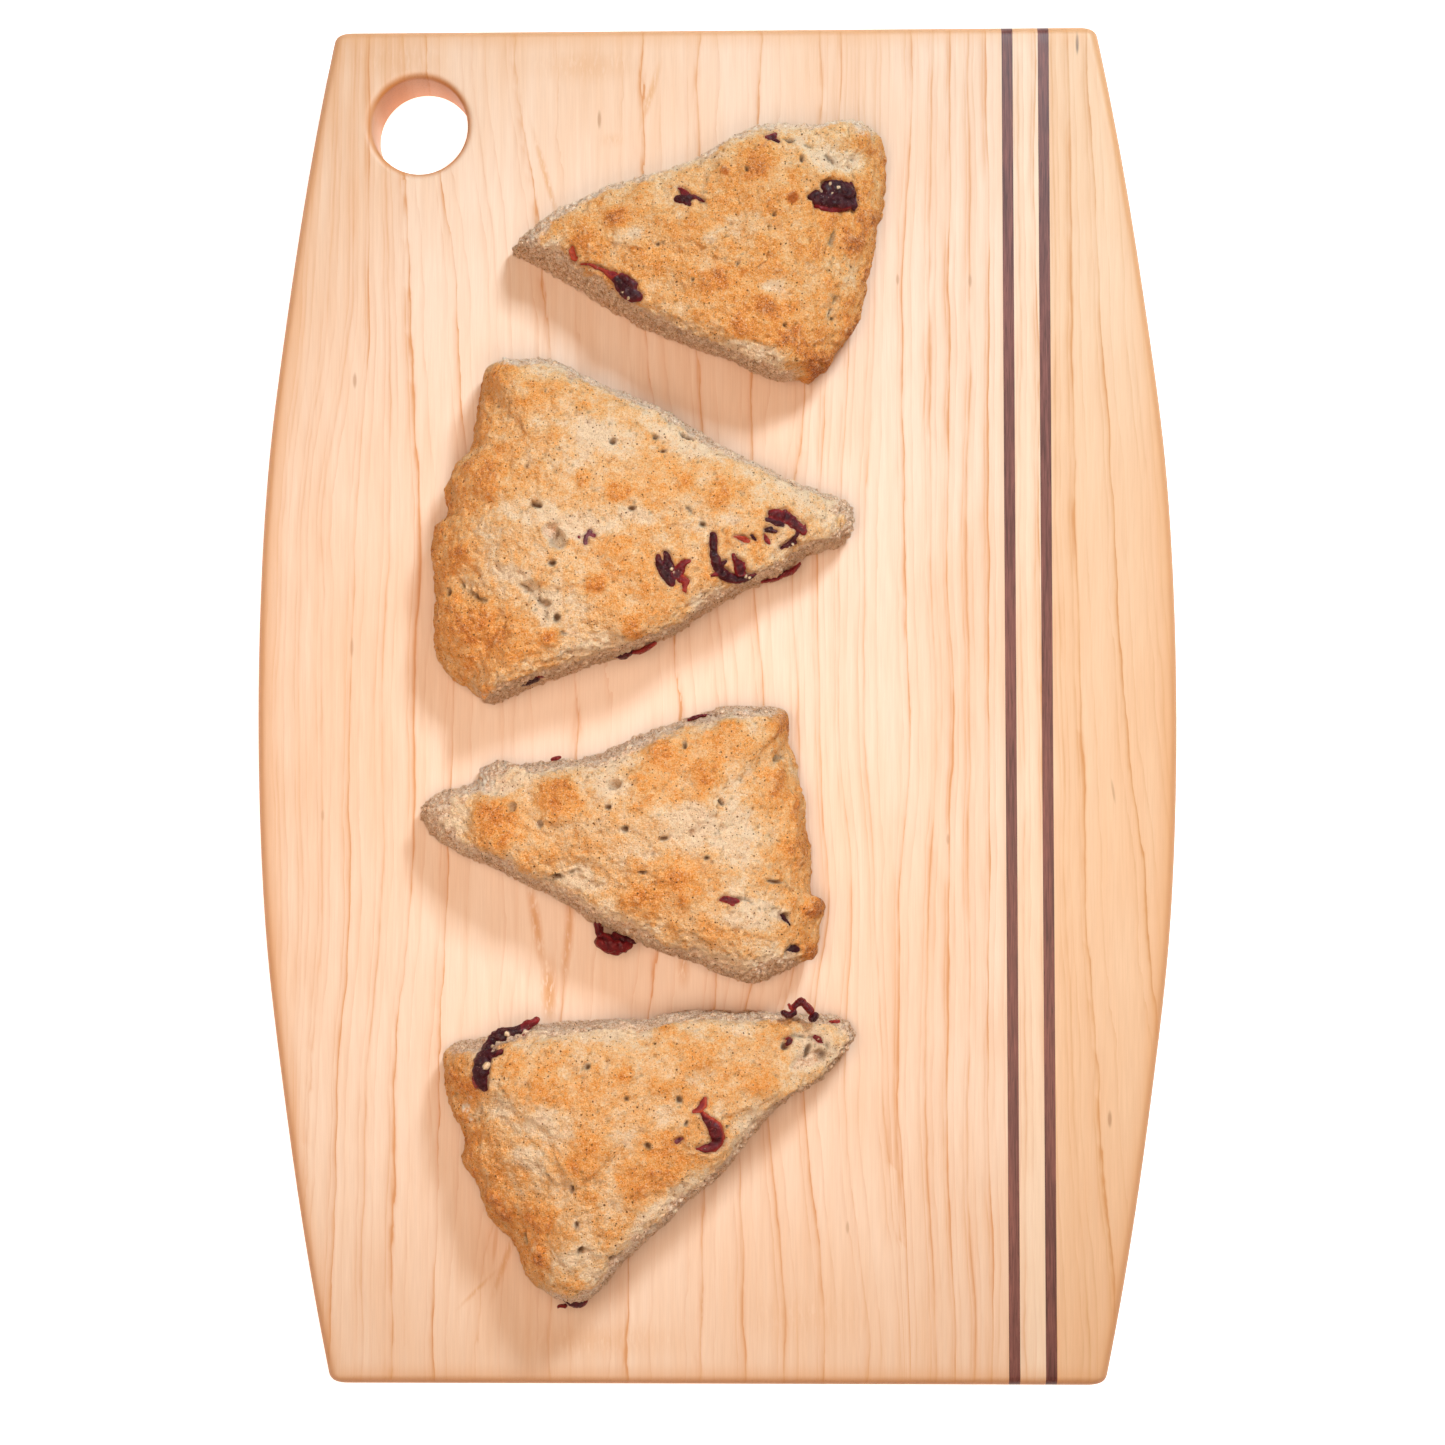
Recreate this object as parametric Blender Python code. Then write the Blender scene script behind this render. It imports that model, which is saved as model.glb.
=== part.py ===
"""Four cranberry-orange scones on a laminated maple cutting board.

Frame: origin at the centre of the board's underside, +Z up, +Y along the board's
length towards the end with the hanging hole, +X towards the dark stripes.
Metres.  Each strip of the board, each baked crumb and each cranberry is one object.
"""
import math
import bpy
import bmesh
from mathutils import Vector, noise
from mathutils.bvhtree import BVHTree

for old in list(bpy.data.objects):
    bpy.data.objects.remove(old, do_unlink=True)

MM = 0.001

# ---------------------------------------------------------------- board sizes
BOARD_LENGTH = 355.6 * MM          # 14 in, end to end
BOARD_THICK = 19.05 * MM           # 3/4 in
HALF_WIDTH_MID = 119.2 * MM        # the long sides bow out to this
HALF_WIDTH_END = 100.6 * MM        # and come in to this at the ends
EDGE_ROUND = 3.0 * MM              # router round-over on the top and bottom edges
CORNER_ROUND = 2.5 * MM
HOLE_RADIUS = 12.7 * MM            # 1 in hanging hole
HOLE_X = -78.3 * MM
HOLE_Y = BOARD_LENGTH / 2 - 25.4 * MM
HOLE_ROUND = 2.0 * MM
# glue lines across the width, from the left panel to the right one
STRIPE_1 = (75.6 * MM, 78.5 * MM)
STRIPE_2 = (85.1 * MM, 88.0 * MM)
GAP = 0.3 * MM                     # every touching pair of pieces keeps this gap

# ---------------------------------------------------------------- scone sizes
REST_Z = BOARD_THICK + GAP
POCKET_GAP = 0.3 * MM
RING_POINTS = 44
# (share of the outline, share of the height), from the flat base to the crown
PROFILE = [(0.965, 0.0), (1.0, 0.10), (1.0, 0.30), (0.985, 0.52), (0.95, 0.70),
           (0.88, 0.85), (0.72, 0.95), (0.46, 0.99), (0.20, 1.0)]

# Each scone is a wedge torn from a round: apex first, then round its outline, in mm.
SCONES = {
    "scone_1": dict(height=27, outline=[
        (-53, 118), (-44, 126), (-31, 132), (-18, 136), (-5, 140), (7, 147), (16, 149),
        (27, 149), (38, 150), (43, 147), (44, 136), (42, 120), (38, 102), (33, 92),
        (26, 84), (17, 83), (4, 89), (-15, 96), (-32, 105), (-46, 114)]),
    "scone_2": dict(height=30, outline=[
        (36, 49), (35, 42), (23, 37), (9, 29), (-2, 23), (-15, 15), (-32, 9), (-46, 4),
        (-59, 0), (-69, 6), (-73, 20), (-74, 36), (-70, 48), (-70, 56), (-63, 66),
        (-61, 79), (-58, 88), (-42, 88), (-30, 82), (-11, 74), (1, 66), (15, 59), (28, 53)]),
    "scone_3": dict(height=27, outline=[
        (-77, -29), (-69, -39), (-49, -48), (-31, -58), (-12, -66), (6, -73), (16, -71),
        (25, -66), (28, -55), (25, -46), (23, -28), (20, -10), (16, -3), (4, -2),
        (-12, -6), (-25, -12), (-42, -16), (-56, -16), (-64, -22)]),
    "scone_4": dict(height=28, outline=[
        (36, -86), (28, -82), (14, -80), (-7, -81), (-27, -83), (-46, -84), (-62, -88),
        (-70, -91), (-70, -99), (-66, -113), (-60, -127), (-51, -142), (-45, -152),
        (-34, -155), (-25, -146), (-11, -133), (3, -120), (11, -110), (19, -102), (34, -91)]),
}

# Cranberries: path along the berry in mm, half width, half height, and where it sits:
# None rides on the top crust, a number is its centre's height above the board in mm.
CRANBERRIES = {
    "scone_1": [
        ([(27.6, 127.0), (34.0, 127.6)], 3.9, 2.8, None),
        ([(-8.0, 127.6), (-5.0, 127.1)], 2.1, 1.7, None),
        ([(-24.5, 106.5), (-19.0, 101.8)], 2.3, 1.9, None),
        ([(-36.5, 114.8), (-35.4, 112.6)], 1.2, 1.1, None),
        ([(13.9, 142.8), (16.4, 142.2)], 1.4, 1.3, None),
        ([(29.5, 88.6), (28.0, 86.4)], 1.4, 1.5, 12.0)],
    "scone_2": [
        ([(14.8, 46.0), (18.4, 44.6), (22.2, 42.4)], 2.0, 1.8, None),
        ([(17.2, 38.6), (21.4, 40.4)], 1.1, 1.1, None),
        ([(12.8, 42.0), (14.4, 41.2)], 1.2, 1.1, None),
        ([(-12.9, 35.6), (-11.8, 30.5), (-9.0, 27.6), (-6.2, 29.0), (-6.0, 33.0)], 1.5, 1.4, None),
        ([(-0.1, 40.4), (0.2, 36.4), (1.4, 32.4), (4.4, 29.9), (8.4, 30.2)], 1.6, 1.5, None),
        ([(6.4, 39.8), (9.4, 40.0)], 0.9, 0.9, None),
        ([(-33.2, 40.5), (-30.0, 40.0)], 1.7, 1.3, None),
        ([(-51.5, 2.9), (-43.0, 5.8)], 1.6, 1.5, 15.5),
        ([(-24.5, 11.6), (-16.5, 14.8)], 1.5, 1.5, 12.5),
        ([(12.8, 30.6), (21.2, 34.8)], 1.5, 1.6, 8.5)],
    "scone_3": [
        ([(-28.0, -61.0), (-23.8, -63.0)], 3.6, 3.2, 8.0),
        ([(1.6, -51.2), (5.6, -51.6)], 1.1, 1.1, None),
        ([(-6.2, -4.4), (-1.2, -3.2)], 1.1, 1.2, 13.0),
        ([(-41.0, -15.8), (-39.2, -15.4)], 0.9, 0.9, 13.0),
        ([(18.4, -65.2), (21.4, -64.2)], 1.3, 1.4, None),
        ([(17.6, -58.0), (17.6, -55.4)], 1.2, 1.2, None)],
    "scone_4": [
        ([(-58.8, -99.6), (-60.8, -95.6), (-60.6, -91.2), (-57.6, -88.0), (-53.0, -86.4),
          (-48.0, -85.6)], 1.9, 1.8, None),
        ([(-3.0, -101.0), (-3.2, -104.4), (0.0, -107.2), (1.7, -110.8), (0.0, -113.8),
          (-3.6, -114.0)], 1.25, 1.3, None),
        ([(18.6, -80.0), (21.8, -79.2), (25.0, -80.2)], 2.2, 2.2, 14.0),
        ([(17.2, -87.6), (20.4, -87.2)], 1.2, 1.2, None),
        ([(25.6, -86.9), (27.6, -86.5)], 1.1, 1.1, None),
        ([(31.6, -84.6), (32.8, -85.0)], 0.9, 0.9, None),
        ([(-40.6, -153.2), (-34.4, -154.4)], 1.5, 1.6, 7.0),
        ([(-10.3, -111.6), (-7.9, -111.2)], 1.2, 1.1, None)],
}

# ---------------------------------------------------------------- materials
def material(name, colour, roughness, coat=0.0):
    mat = bpy.data.materials.new(name)
    mat.use_nodes = True
    bsdf = mat.node_tree.nodes["Principled BSDF"]
    bsdf.inputs["Base Color"].default_value = (*colour, 1.0)
    bsdf.inputs["Roughness"].default_value = roughness
    bsdf.inputs["Metallic"].default_value = 0.0
    bsdf.inputs["Coat Weight"].default_value = coat
    mat.diffuse_color = (*colour, 1.0)
    return mat


MAPLE = material("maple", (0.86, 0.66, 0.47), 0.45)
DARK_WOOD = material("dark_wood", (0.075, 0.025, 0.022), 0.40)
CRUMB = material("scone_crumb", (0.60, 0.37, 0.17), 0.85)
CRANBERRY = material("cranberry", (0.075, 0.006, 0.010), 0.28, 0.4)


def new_object(name, bm, mat):
    bmesh.ops.recalc_face_normals(bm, faces=bm.faces)
    mesh = bpy.data.meshes.new(name)
    bm.to_mesh(mesh)
    bm.free()
    mesh.materials.append(mat)
    mesh.shade_smooth()
    mesh.set_sharp_from_angle(angle=math.radians(35))
    obj = bpy.data.objects.new(name, mesh)
    bpy.context.scene.collection.objects.link(obj)
    return obj


def as_cutter(obj):
    obj.hide_render = True
    obj.display_type = "WIRE"
    return obj


def cut(obj, cutter, operation="DIFFERENCE", curved=False):
    mod = obj.modifiers.new(operation.lower(), "BOOLEAN")
    mod.operation = operation
    mod.solver = "EXACT"
    mod.use_self = curved
    mod.object = as_cutter(cutter)


def fill_rings(bm, rings, cap_start=True, cap_end=True):
    """Skin a stack of equal rings of vertices, and cap its ends."""
    count = len(rings[0])
    for low, high in zip(rings[:-1], rings[1:]):
        for i in range(count):
            j = (i + 1) % count
            bm.faces.new((low[i], low[j], high[j], high[i]))
    if cap_start:
        bm.faces.new(list(reversed(rings[0])))
    if cap_end:
        bm.faces.new(rings[-1])


# ---------------------------------------------------------------- the board
BOW = HALF_WIDTH_MID - HALF_WIDTH_END
BOW_RADIUS = ((BOARD_LENGTH / 2) ** 2 + BOW ** 2) / (2 * BOW)


def half_width(y):
    return HALF_WIDTH_MID - BOW_RADIUS + math.sqrt(BOW_RADIUS ** 2 - y * y)


def board_outline(inset):
    """Right side bottom to top, then left side top to bottom, corners rounded."""
    top = BOARD_LENGTH / 2 - inset
    r = max(CORNER_ROUND - inset * 0.5, 0.6 * MM)
    side = []
    steps = 22
    for i in range(steps + 1):
        y = -(top - r) + 2 * (top - r) * i / steps
        side.append((half_width(y) - inset, y))
    x_end = side[-1][0]
    corner = []
    for a in (30, 60, 90):
        t = math.radians(a)
        corner.append((x_end - r + r * math.cos(t), top - r + r * math.sin(t)))
    right = [(x, -y) for x, y in reversed(corner)] + side + corner
    left = [(-x, y) for x, y in reversed(right)]
    return right + left


def board_blank():
    bm = bmesh.new()
    levels = []
    for a in (0, 30, 60, 90):
        t = math.radians(a)
        levels.append((EDGE_ROUND * (1 - math.sin(t)), EDGE_ROUND * (1 - math.cos(t))))
    levels += [(inset, BOARD_THICK - z) for inset, z in reversed(levels)]
    rings = [[bm.verts.new((x, y, z)) for x, y in board_outline(inset)] for inset, z in levels]
    fill_rings(bm, rings)
    return bm


def box_between(x0, x1):
    bm = bmesh.new()
    bmesh.ops.create_cube(bm, size=1.0)
    for v in bm.verts:
        v.co = Vector(((x0 + x1) / 2 + v.co.x * (x1 - x0), v.co.y * BOARD_LENGTH * 1.2,
                       BOARD_THICK / 2 + v.co.z * BOARD_THICK * 2))
    return bm


def hole_cutter():
    """Through bore with a rounded-over mouth at each face."""
    bm = bmesh.new()
    prof = [(HOLE_RADIUS + HOLE_ROUND + 2 * MM, -2 * MM)]
    for a in (0, 45, 90):
        t = math.radians(a)
        prof.append((HOLE_RADIUS + HOLE_ROUND * (1 - math.sin(t)), HOLE_ROUND * (1 - math.cos(t))))
    prof[1] = (HOLE_RADIUS + HOLE_ROUND, 0.0)
    prof += [(r, BOARD_THICK - z) for r, z in reversed(prof)]
    rings = []
    for r, z in prof:
        ring = []
        for i in range(32):
            t = 2 * math.pi * i / 32
            ring.append(bm.verts.new((HOLE_X + r * math.cos(t), HOLE_Y + r * math.sin(t), z)))
        rings.append(ring)
    fill_rings(bm, rings)
    return bm


strips = [
    ("main_panel", -0.2, STRIPE_1[0] - GAP / 2, MAPLE),
    ("dark_stripe_left", STRIPE_1[0] + GAP / 2, STRIPE_1[1] - GAP / 2, DARK_WOOD),
    ("maple_strip", STRIPE_1[1] + GAP / 2, STRIPE_2[0] - GAP / 2, MAPLE),
    ("dark_stripe_right", STRIPE_2[0] + GAP / 2, STRIPE_2[1] - GAP / 2, DARK_WOOD),
    ("edge_panel", STRIPE_2[1] + GAP / 2, 0.2, MAPLE),
]
for strip_name, x_low, x_high, strip_mat in strips:
    strip = new_object(strip_name, board_blank(), strip_mat)
    slab = new_object("cut_" + strip_name, box_between(x_low, x_high), strip_mat)
    cut(strip, slab, "INTERSECT")
    if strip_name == "main_panel":
        cut(strip, new_object("cut_hole", hole_cutter(), strip_mat))


# ---------------------------------------------------------------- the scones
def smooth_closed(points, count):
    """Closed Catmull-Rom curve through the points, read at equal steps along it."""
    dense = []
    n = len(points)
    for i in range(n):
        p0, p1, p2, p3 = (Vector(points[(i + k - 1) % n]) for k in range(4))
        for s in range(12):
            t = s / 12
            dense.append(0.5 * ((2 * p1) + (p2 - p0) * t + (2 * p0 - 5 * p1 + 4 * p2 - p3) * t * t
                                + (3 * p1 - p0 - 3 * p2 + p3) * t ** 3))
    lengths = [0.0]
    for a, b in zip(dense, dense[1:] + dense[:1]):
        lengths.append(lengths[-1] + (b - a).length)
    out, k = [], 0
    for i in range(count):
        want = lengths[-1] * i / count
        while lengths[k + 1] < want:
            k += 1
        f = (want - lengths[k]) / max(lengths[k + 1] - lengths[k], 1e-9)
        out.append(dense[k].lerp(dense[(k + 1) % len(dense)], f))
    return out


def smooth_open(points):
    """Open Catmull-Rom curve through the points, as a dense list."""
    pts = [Vector(p) for p in points]
    pts = [pts[0] * 2 - pts[1]] + pts + [pts[-1] * 2 - pts[-2]]
    dense = []
    for p0, p1, p2, p3 in zip(pts, pts[1:], pts[2:], pts[3:]):
        for s in range(8):
            t = s / 8
            dense.append(0.5 * ((2 * p1) + (p2 - p0) * t + (2 * p0 - 5 * p1 + 4 * p2 - p3) * t * t
                                + (3 * p1 - p0 - 3 * p2 + p3) * t ** 3))
    return dense + [pts[-2]]


def ccw(points):
    area = sum(a[0] * b[1] - b[0] * a[1] for a, b in zip(points, points[1:] + points[:1]))
    return points if area > 0 else [points[0]] + points[:0:-1]


def crumb_mesh(spec, seed):
    outline = smooth_closed(ccw(spec["outline"]), RING_POINTS)
    apex = Vector(spec["outline"][0])
    centre = sum(outline, Vector((0, 0))) / len(outline)
    bm = bmesh.new()
    rings = []
    for level, (share, up) in enumerate(PROFILE):
        ring = []
        for p in outline:
            q = centre + (p - centre) * share
            near = min((q - apex).length / 50.0, 1.0)
            low = 0.80 + 0.20 * near * near * (3 - 2 * near)
            z = spec["height"] * up * low
            lump = noise.noise(Vector((q.x * 0.09 + seed, q.y * 0.09, z * 0.09)))
            if level:
                q = q + (q - centre).normalized() * lump * 0.9
                z += lump * 1.1 * up
            ring.append(bm.verts.new((q.x * MM, q.y * MM, REST_Z + z * MM)))
        rings.append(ring)
    fill_rings(bm, rings, cap_end=False)
    crown = bm.verts.new((centre.x * MM, centre.y * MM, REST_Z + spec["height"] * MM))
    last = rings[-1]
    for i in range(RING_POINTS):
        bm.faces.new((last[i], last[(i + 1) % RING_POINTS], crown))
    return bm


def berry_mesh(path, half_w, half_h, surface, grow, seed):
    """A wrinkled, tapering, swept oval along the berry's path, grown by a clearance."""
    points = smooth_open(path)
    lengths = [0.0]
    for a, b in zip(points[:-1], points[1:]):
        lengths.append(lengths[-1] + (b - a).length)
    total = lengths[-1]
    # the tips run on past the path's ends by about the half width
    steps = max(5, int(total / 1.6) + 3)

    def along(s):
        if s <= 0:
            return points[0] + (points[0] - points[1]).normalized() * -s
        if s >= total:
            return points[-1] + (points[-1] - points[-2]).normalized() * (s - total)
        for k in range(len(points) - 1):
            if s <= lengths[k + 1]:
                return points[k].lerp(points[k + 1], (s - lengths[k]) / (lengths[k + 1] - lengths[k]))

    over = half_w * 0.85
    bm = bmesh.new()
    rings = []
    tips = []
    for i in range(steps + 1):
        u = -1 + 2 * i / steps
        s = total / 2 + u * (total / 2 + over)
        fullness = math.sqrt(max(0.0, 1 - abs(u) ** 3.2))
        p = along(s)
        z = surface(p)
        if i in (0, steps):
            step_dir = (p - along(s + (0.4 if i == 0 else -0.4))).normalized()
            q = p + step_dir * grow / MM
            tips.append(bm.verts.new((q.x * MM, q.y * MM, z * MM)))
            continue
        ahead = (along(s + 0.8) - along(s - 0.8)).normalized()
        across = Vector((-ahead.y, ahead.x))
        ring = []
        for k in range(8):
            a = 2 * math.pi * k / 8
            wob = 1 + 0.12 * noise.noise(Vector((seed + u * 1.7, math.cos(a) * 1.3, math.sin(a) * 1.3)))
            side = math.cos(a) * (half_w * fullness * wob * MM + grow)
            lift = math.sin(a) * (half_h * fullness * wob * MM + grow)
            ring.append(bm.verts.new((p.x * MM + across.x * side, p.y * MM + across.y * side,
                                      z * MM + lift)))
        rings.append(ring)
    fill_rings(bm, rings, cap_start=False, cap_end=False)
    for tip, ring in ((tips[0], rings[0]), (tips[1], rings[-1])):
        for k in range(8):
            bm.faces.new((tip, ring[k], ring[(k + 1) % 8]))
    return bm


for index, (scone, spec) in enumerate(SCONES.items()):
    seed = 3.7 * (index + 1)
    shape = crumb_mesh(spec, seed)
    tree = BVHTree.FromBMesh(shape)
    crumb = new_object(scone + "_crumb", shape, CRUMB)
    for number, (path, half_w, half_h, height) in enumerate(CRANBERRIES[scone], 1):
        if height is None:
            def crust(p, tree=tree):
                hit = tree.ray_cast(Vector((p[0] * MM, p[1] * MM, 0.2)), Vector((0, 0, -1)))
                return hit[0].z / MM if hit[0] else 0.0

            level = max(crust(p) for p in path)

            def surface(p, half_h=half_h, level=level, crust=crust):
                return max(crust(p), level - 1.5) - 0.35 * half_h
        else:
            def surface(p, height=height):
                return REST_Z / MM + height
        name = "%s_cranberry_%d" % (scone, number)
        new_object(name, berry_mesh(path, half_w, half_h, surface, 0.0, seed + number), CRANBERRY)
        pocket = new_object("pocket_" + name,
                            berry_mesh(path, half_w, half_h, surface, POCKET_GAP, seed + number), CRANBERRY)
        cut(crumb, pocket, curved=len(path) > 2)
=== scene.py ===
"""The looks of four cranberry-orange scones on a laminated maple cutting board."""
import math

import bmesh
import bpy
import numpy as np
from mathutils import Matrix, Vector
from mathutils.bvhtree import BVHTree


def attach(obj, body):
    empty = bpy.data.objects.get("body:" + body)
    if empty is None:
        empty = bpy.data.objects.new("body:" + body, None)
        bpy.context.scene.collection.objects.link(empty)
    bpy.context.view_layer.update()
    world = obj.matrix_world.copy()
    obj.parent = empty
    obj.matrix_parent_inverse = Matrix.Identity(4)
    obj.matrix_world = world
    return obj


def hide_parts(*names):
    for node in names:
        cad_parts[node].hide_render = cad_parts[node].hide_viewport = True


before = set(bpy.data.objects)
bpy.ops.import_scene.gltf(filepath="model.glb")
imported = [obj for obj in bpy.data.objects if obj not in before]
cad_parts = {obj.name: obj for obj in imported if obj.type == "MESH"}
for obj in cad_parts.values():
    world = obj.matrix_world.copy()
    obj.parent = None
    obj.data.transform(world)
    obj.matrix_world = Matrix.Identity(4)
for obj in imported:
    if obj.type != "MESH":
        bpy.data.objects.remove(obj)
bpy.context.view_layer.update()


MM = 0.001
TOP = 19.05                     # the board's top, mm


# =====================================================================
# Noise, in plain numpy: the same numbers on every run
# =====================================================================
_rng = np.random.RandomState(20)
PERM = _rng.permutation(512).astype(np.int64)
GRAD = _rng.normal(size=(512, 3))
GRAD /= np.linalg.norm(GRAD, axis=1)[:, None]
JITTER = _rng.uniform(size=(512, 4))


def _cell(ix, iy, iz, seed):
    return PERM[(PERM[(PERM[(ix + seed) & 511] + iy) & 511] + iz) & 511]


def perlin(p, seed=0):
    """Gradient noise of points (n, 3), about -1 to 1."""
    i = np.floor(p).astype(np.int64)
    f = p - i
    u = f * f * f * (f * (f * 6 - 15) + 10)
    out = np.zeros(len(p))
    for dx in (0, 1):
        wx = u[:, 0] if dx else 1 - u[:, 0]
        for dy in (0, 1):
            wy = u[:, 1] if dy else 1 - u[:, 1]
            for dz in (0, 1):
                wz = u[:, 2] if dz else 1 - u[:, 2]
                g = GRAD[_cell(i[:, 0] + dx, i[:, 1] + dy, i[:, 2] + dz, seed)]
                d = g[:, 0] * (f[:, 0] - dx) + g[:, 1] * (f[:, 1] - dy) + g[:, 2] * (f[:, 2] - dz)
                out += wx * wy * wz * d
    return out * 1.55


def fbm(p, size, octaves=3, gain=0.5, seed=0):
    """Noise whose largest lumps are `size` mm across."""
    out, amp, total = np.zeros(len(p)), 1.0, 0.0
    q = p / size
    for k in range(octaves):
        out += amp * perlin(q * (2.03 ** k) + 17.3 * k, seed + 31 * k)
        total += amp
        amp *= gain
    return out / total


def worley(p, size, seed=0):
    """Distance in mm to the nearest and second nearest scattered point, and its random number."""
    q = p / size
    i = np.floor(q).astype(np.int64)
    f1 = np.full(len(p), 9.0)
    f2 = np.full(len(p), 9.0)
    pick = np.zeros(len(p))
    for dx in (-1, 0, 1):
        for dy in (-1, 0, 1):
            for dz in (-1, 0, 1):
                c = _cell(i[:, 0] + dx, i[:, 1] + dy, i[:, 2] + dz, seed)
                j = JITTER[c]
                d = np.sqrt((i[:, 0] + dx + j[:, 0] - q[:, 0]) ** 2 + (i[:, 1] + dy + j[:, 1] - q[:, 1]) ** 2
                            + (i[:, 2] + dz + j[:, 2] - q[:, 2]) ** 2)
                near = d < f1
                f2 = np.where(near, f1, np.minimum(f2, d))
                pick = np.where(near, j[:, 3], pick)
                f1 = np.minimum(f1, d)
    return f1 * size, f2 * size, pick


def step(a, b, x):
    t = np.clip((x - a) / (b - a), 0, 1)
    return t * t * (3 - 2 * t)


# =====================================================================
# Small helpers for meshes and node materials
# =====================================================================
def link(mesh, name):
    obj = bpy.data.objects.new(name, mesh)
    bpy.context.scene.collection.objects.link(obj)
    return obj


def mesh_from(name, verts, faces):
    mesh = bpy.data.meshes.new(name)
    mesh.from_pydata([tuple(v) for v in verts], [], faces)
    mesh.validate()
    mesh.update()
    return mesh


def points_of(mesh):
    co = np.zeros(len(mesh.vertices) * 3)
    mesh.vertices.foreach_get("co", co)
    return co.reshape(-1, 3)


def normals_of(mesh):
    no = np.zeros(len(mesh.vertices) * 3)
    mesh.vertices.foreach_get("normal", no)
    return no.reshape(-1, 3)


def set_points(mesh, co):
    mesh.vertices.foreach_set("co", np.ascontiguousarray(co, dtype=np.float64).ravel())
    mesh.update()


def paint(mesh, name, values):
    attr = mesh.attributes.get(name) or mesh.attributes.new(name, "FLOAT", "POINT")
    attr.data.foreach_set("value", np.ascontiguousarray(values, dtype=np.float32))


def applied(obj):
    """Replaces the object's mesh by its evaluated one, with no modifiers left."""
    dg = bpy.context.evaluated_depsgraph_get()
    dg.update()
    mesh = bpy.data.meshes.new_from_object(obj.evaluated_get(dg), depsgraph=dg)
    old = obj.data
    obj.modifiers.clear()
    obj.data = mesh
    bpy.data.meshes.remove(old)
    return obj


def remesh(obj, voxel):
    mod = obj.modifiers.new("remesh", "REMESH")
    mod.mode = "VOXEL"
    mod.voxel_size = voxel * MM
    mod.adaptivity = 0
    applied(obj)
    obj.data.shade_smooth()
    return obj


class Nodes:
    """A short way to write a node material."""

    def __init__(self, name):
        self.mat = bpy.data.materials.new(name)
        self.mat.use_nodes = True
        self.tree = self.mat.node_tree
        self.bsdf = self.tree.nodes["Principled BSDF"]

    def add(self, kind, **sockets):
        node = self.tree.nodes.new(kind)
        for key, value in sockets.items():
            if key.startswith("_"):
                setattr(node, key[1:], value)
        for key, value in sockets.items():
            if not key.startswith("_"):
                key = key.replace("__", " ")
                self.plug(node.inputs[int(key[1:])] if key[0] == "i" and key[1:].isdigit() else node.inputs[key], value)
        return node

    def plug(self, socket, value):
        if isinstance(value, bpy.types.NodeSocket):
            self.tree.links.new(value, socket)
        elif value is not None:
            socket.default_value = value

    def math(self, op, a, b=None, c=None, clamp=False):
        node = self.add("ShaderNodeMath", _operation=op, _use_clamp=clamp)
        self.plug(node.inputs[0], a)
        self.plug(node.inputs[1], b)
        self.plug(node.inputs[2], c)
        return node.outputs[0]

    def mul(self, a, b):
        return self.math("MULTIPLY", a, b)

    def plus(self, a, b):
        return self.math("ADD", a, b)

    def span(self, value, a, b, to_a=0.0, to_b=1.0, smooth=True):
        node = self.add("ShaderNodeMapRange", _interpolation_type="SMOOTHSTEP" if smooth else "LINEAR")
        for socket, v in zip(("Value", "From Min", "From Max", "To Min", "To Max"), (value, a, b, to_a, to_b)):
            self.plug(node.inputs[socket], v)
        return node.outputs[0]

    def mix(self, factor, a, b, blend="MIX"):
        node = self.add("ShaderNodeMix", _data_type="RGBA", _blend_type=blend)
        self.plug(node.inputs[0], factor)
        self.plug(node.inputs[6], (*a, 1.0) if isinstance(a, tuple) else a)
        self.plug(node.inputs[7], (*b, 1.0) if isinstance(b, tuple) else b)
        return node.outputs[2]

    def mm(self, scale=(1, 1, 1), move=(0, 0, 0)):
        """Object coordinates in mm, times a scale for each axis."""
        co = self.add("ShaderNodeTexCoord").outputs["Object"]
        node = self.add("ShaderNodeMapping", Vector=co)
        node.inputs["Scale"].default_value = tuple(1000.0 * s for s in scale)
        node.inputs["Location"].default_value = move
        return node.outputs[0]

    def noise(self, vector, scale, detail=2.0, rough=0.5, distortion=0.0):
        return self.add("ShaderNodeTexNoise", Vector=vector, Scale=scale, Detail=detail,
                        Roughness=rough, Distortion=distortion).outputs["Fac"]

    def attr(self, name):
        return self.add("ShaderNodeAttribute", _attribute_name=name, _attribute_type="GEOMETRY").outputs["Fac"]

    def bump(self, height, strength, distance_mm, normal=None):
        node = self.add("ShaderNodeBump", Strength=strength, Distance=distance_mm * MM, Height=height)
        if normal is not None:
            self.plug(node.inputs["Normal"], normal)
        return node.outputs[0]

    def finish(self, **values):
        for key, value in values.items():
            key = key.replace("__", " ")
            socket = self.bsdf.inputs[key]
            if isinstance(value, tuple) and socket.type == "RGBA":
                value = (*value, 1.0)
            self.plug(socket, value)
        return self.mat


# =====================================================================
# The camera, straight above as the photograph has it
# =====================================================================
cam_data = bpy.data.cameras.new("camera")
cam = bpy.data.objects.new("camera", cam_data)
bpy.context.scene.collection.objects.link(cam)
cam_data.type = "PERSP"
cam_data.sensor_width = 36.0
cam_data.lens = 18.0 / math.tan(math.radians(32.36 / 2))
cam_data.clip_start = 0.01
cam.location = (0.01462, -0.03009, 0.66952)
look = Vector((-0.01972, 0.03714, -0.99912)).normalized()
up = Vector((0.00228, 0.99931, 0.03711)).normalized()
right = look.cross(up).normalized()
up = right.cross(look).normalized()
cam.matrix_world = Matrix((
    (right.x, up.x, -look.x, cam.location.x),
    (right.y, up.y, -look.y, cam.location.y),
    (right.z, up.z, -look.z, cam.location.z),
    (0, 0, 0, 1)))
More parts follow.
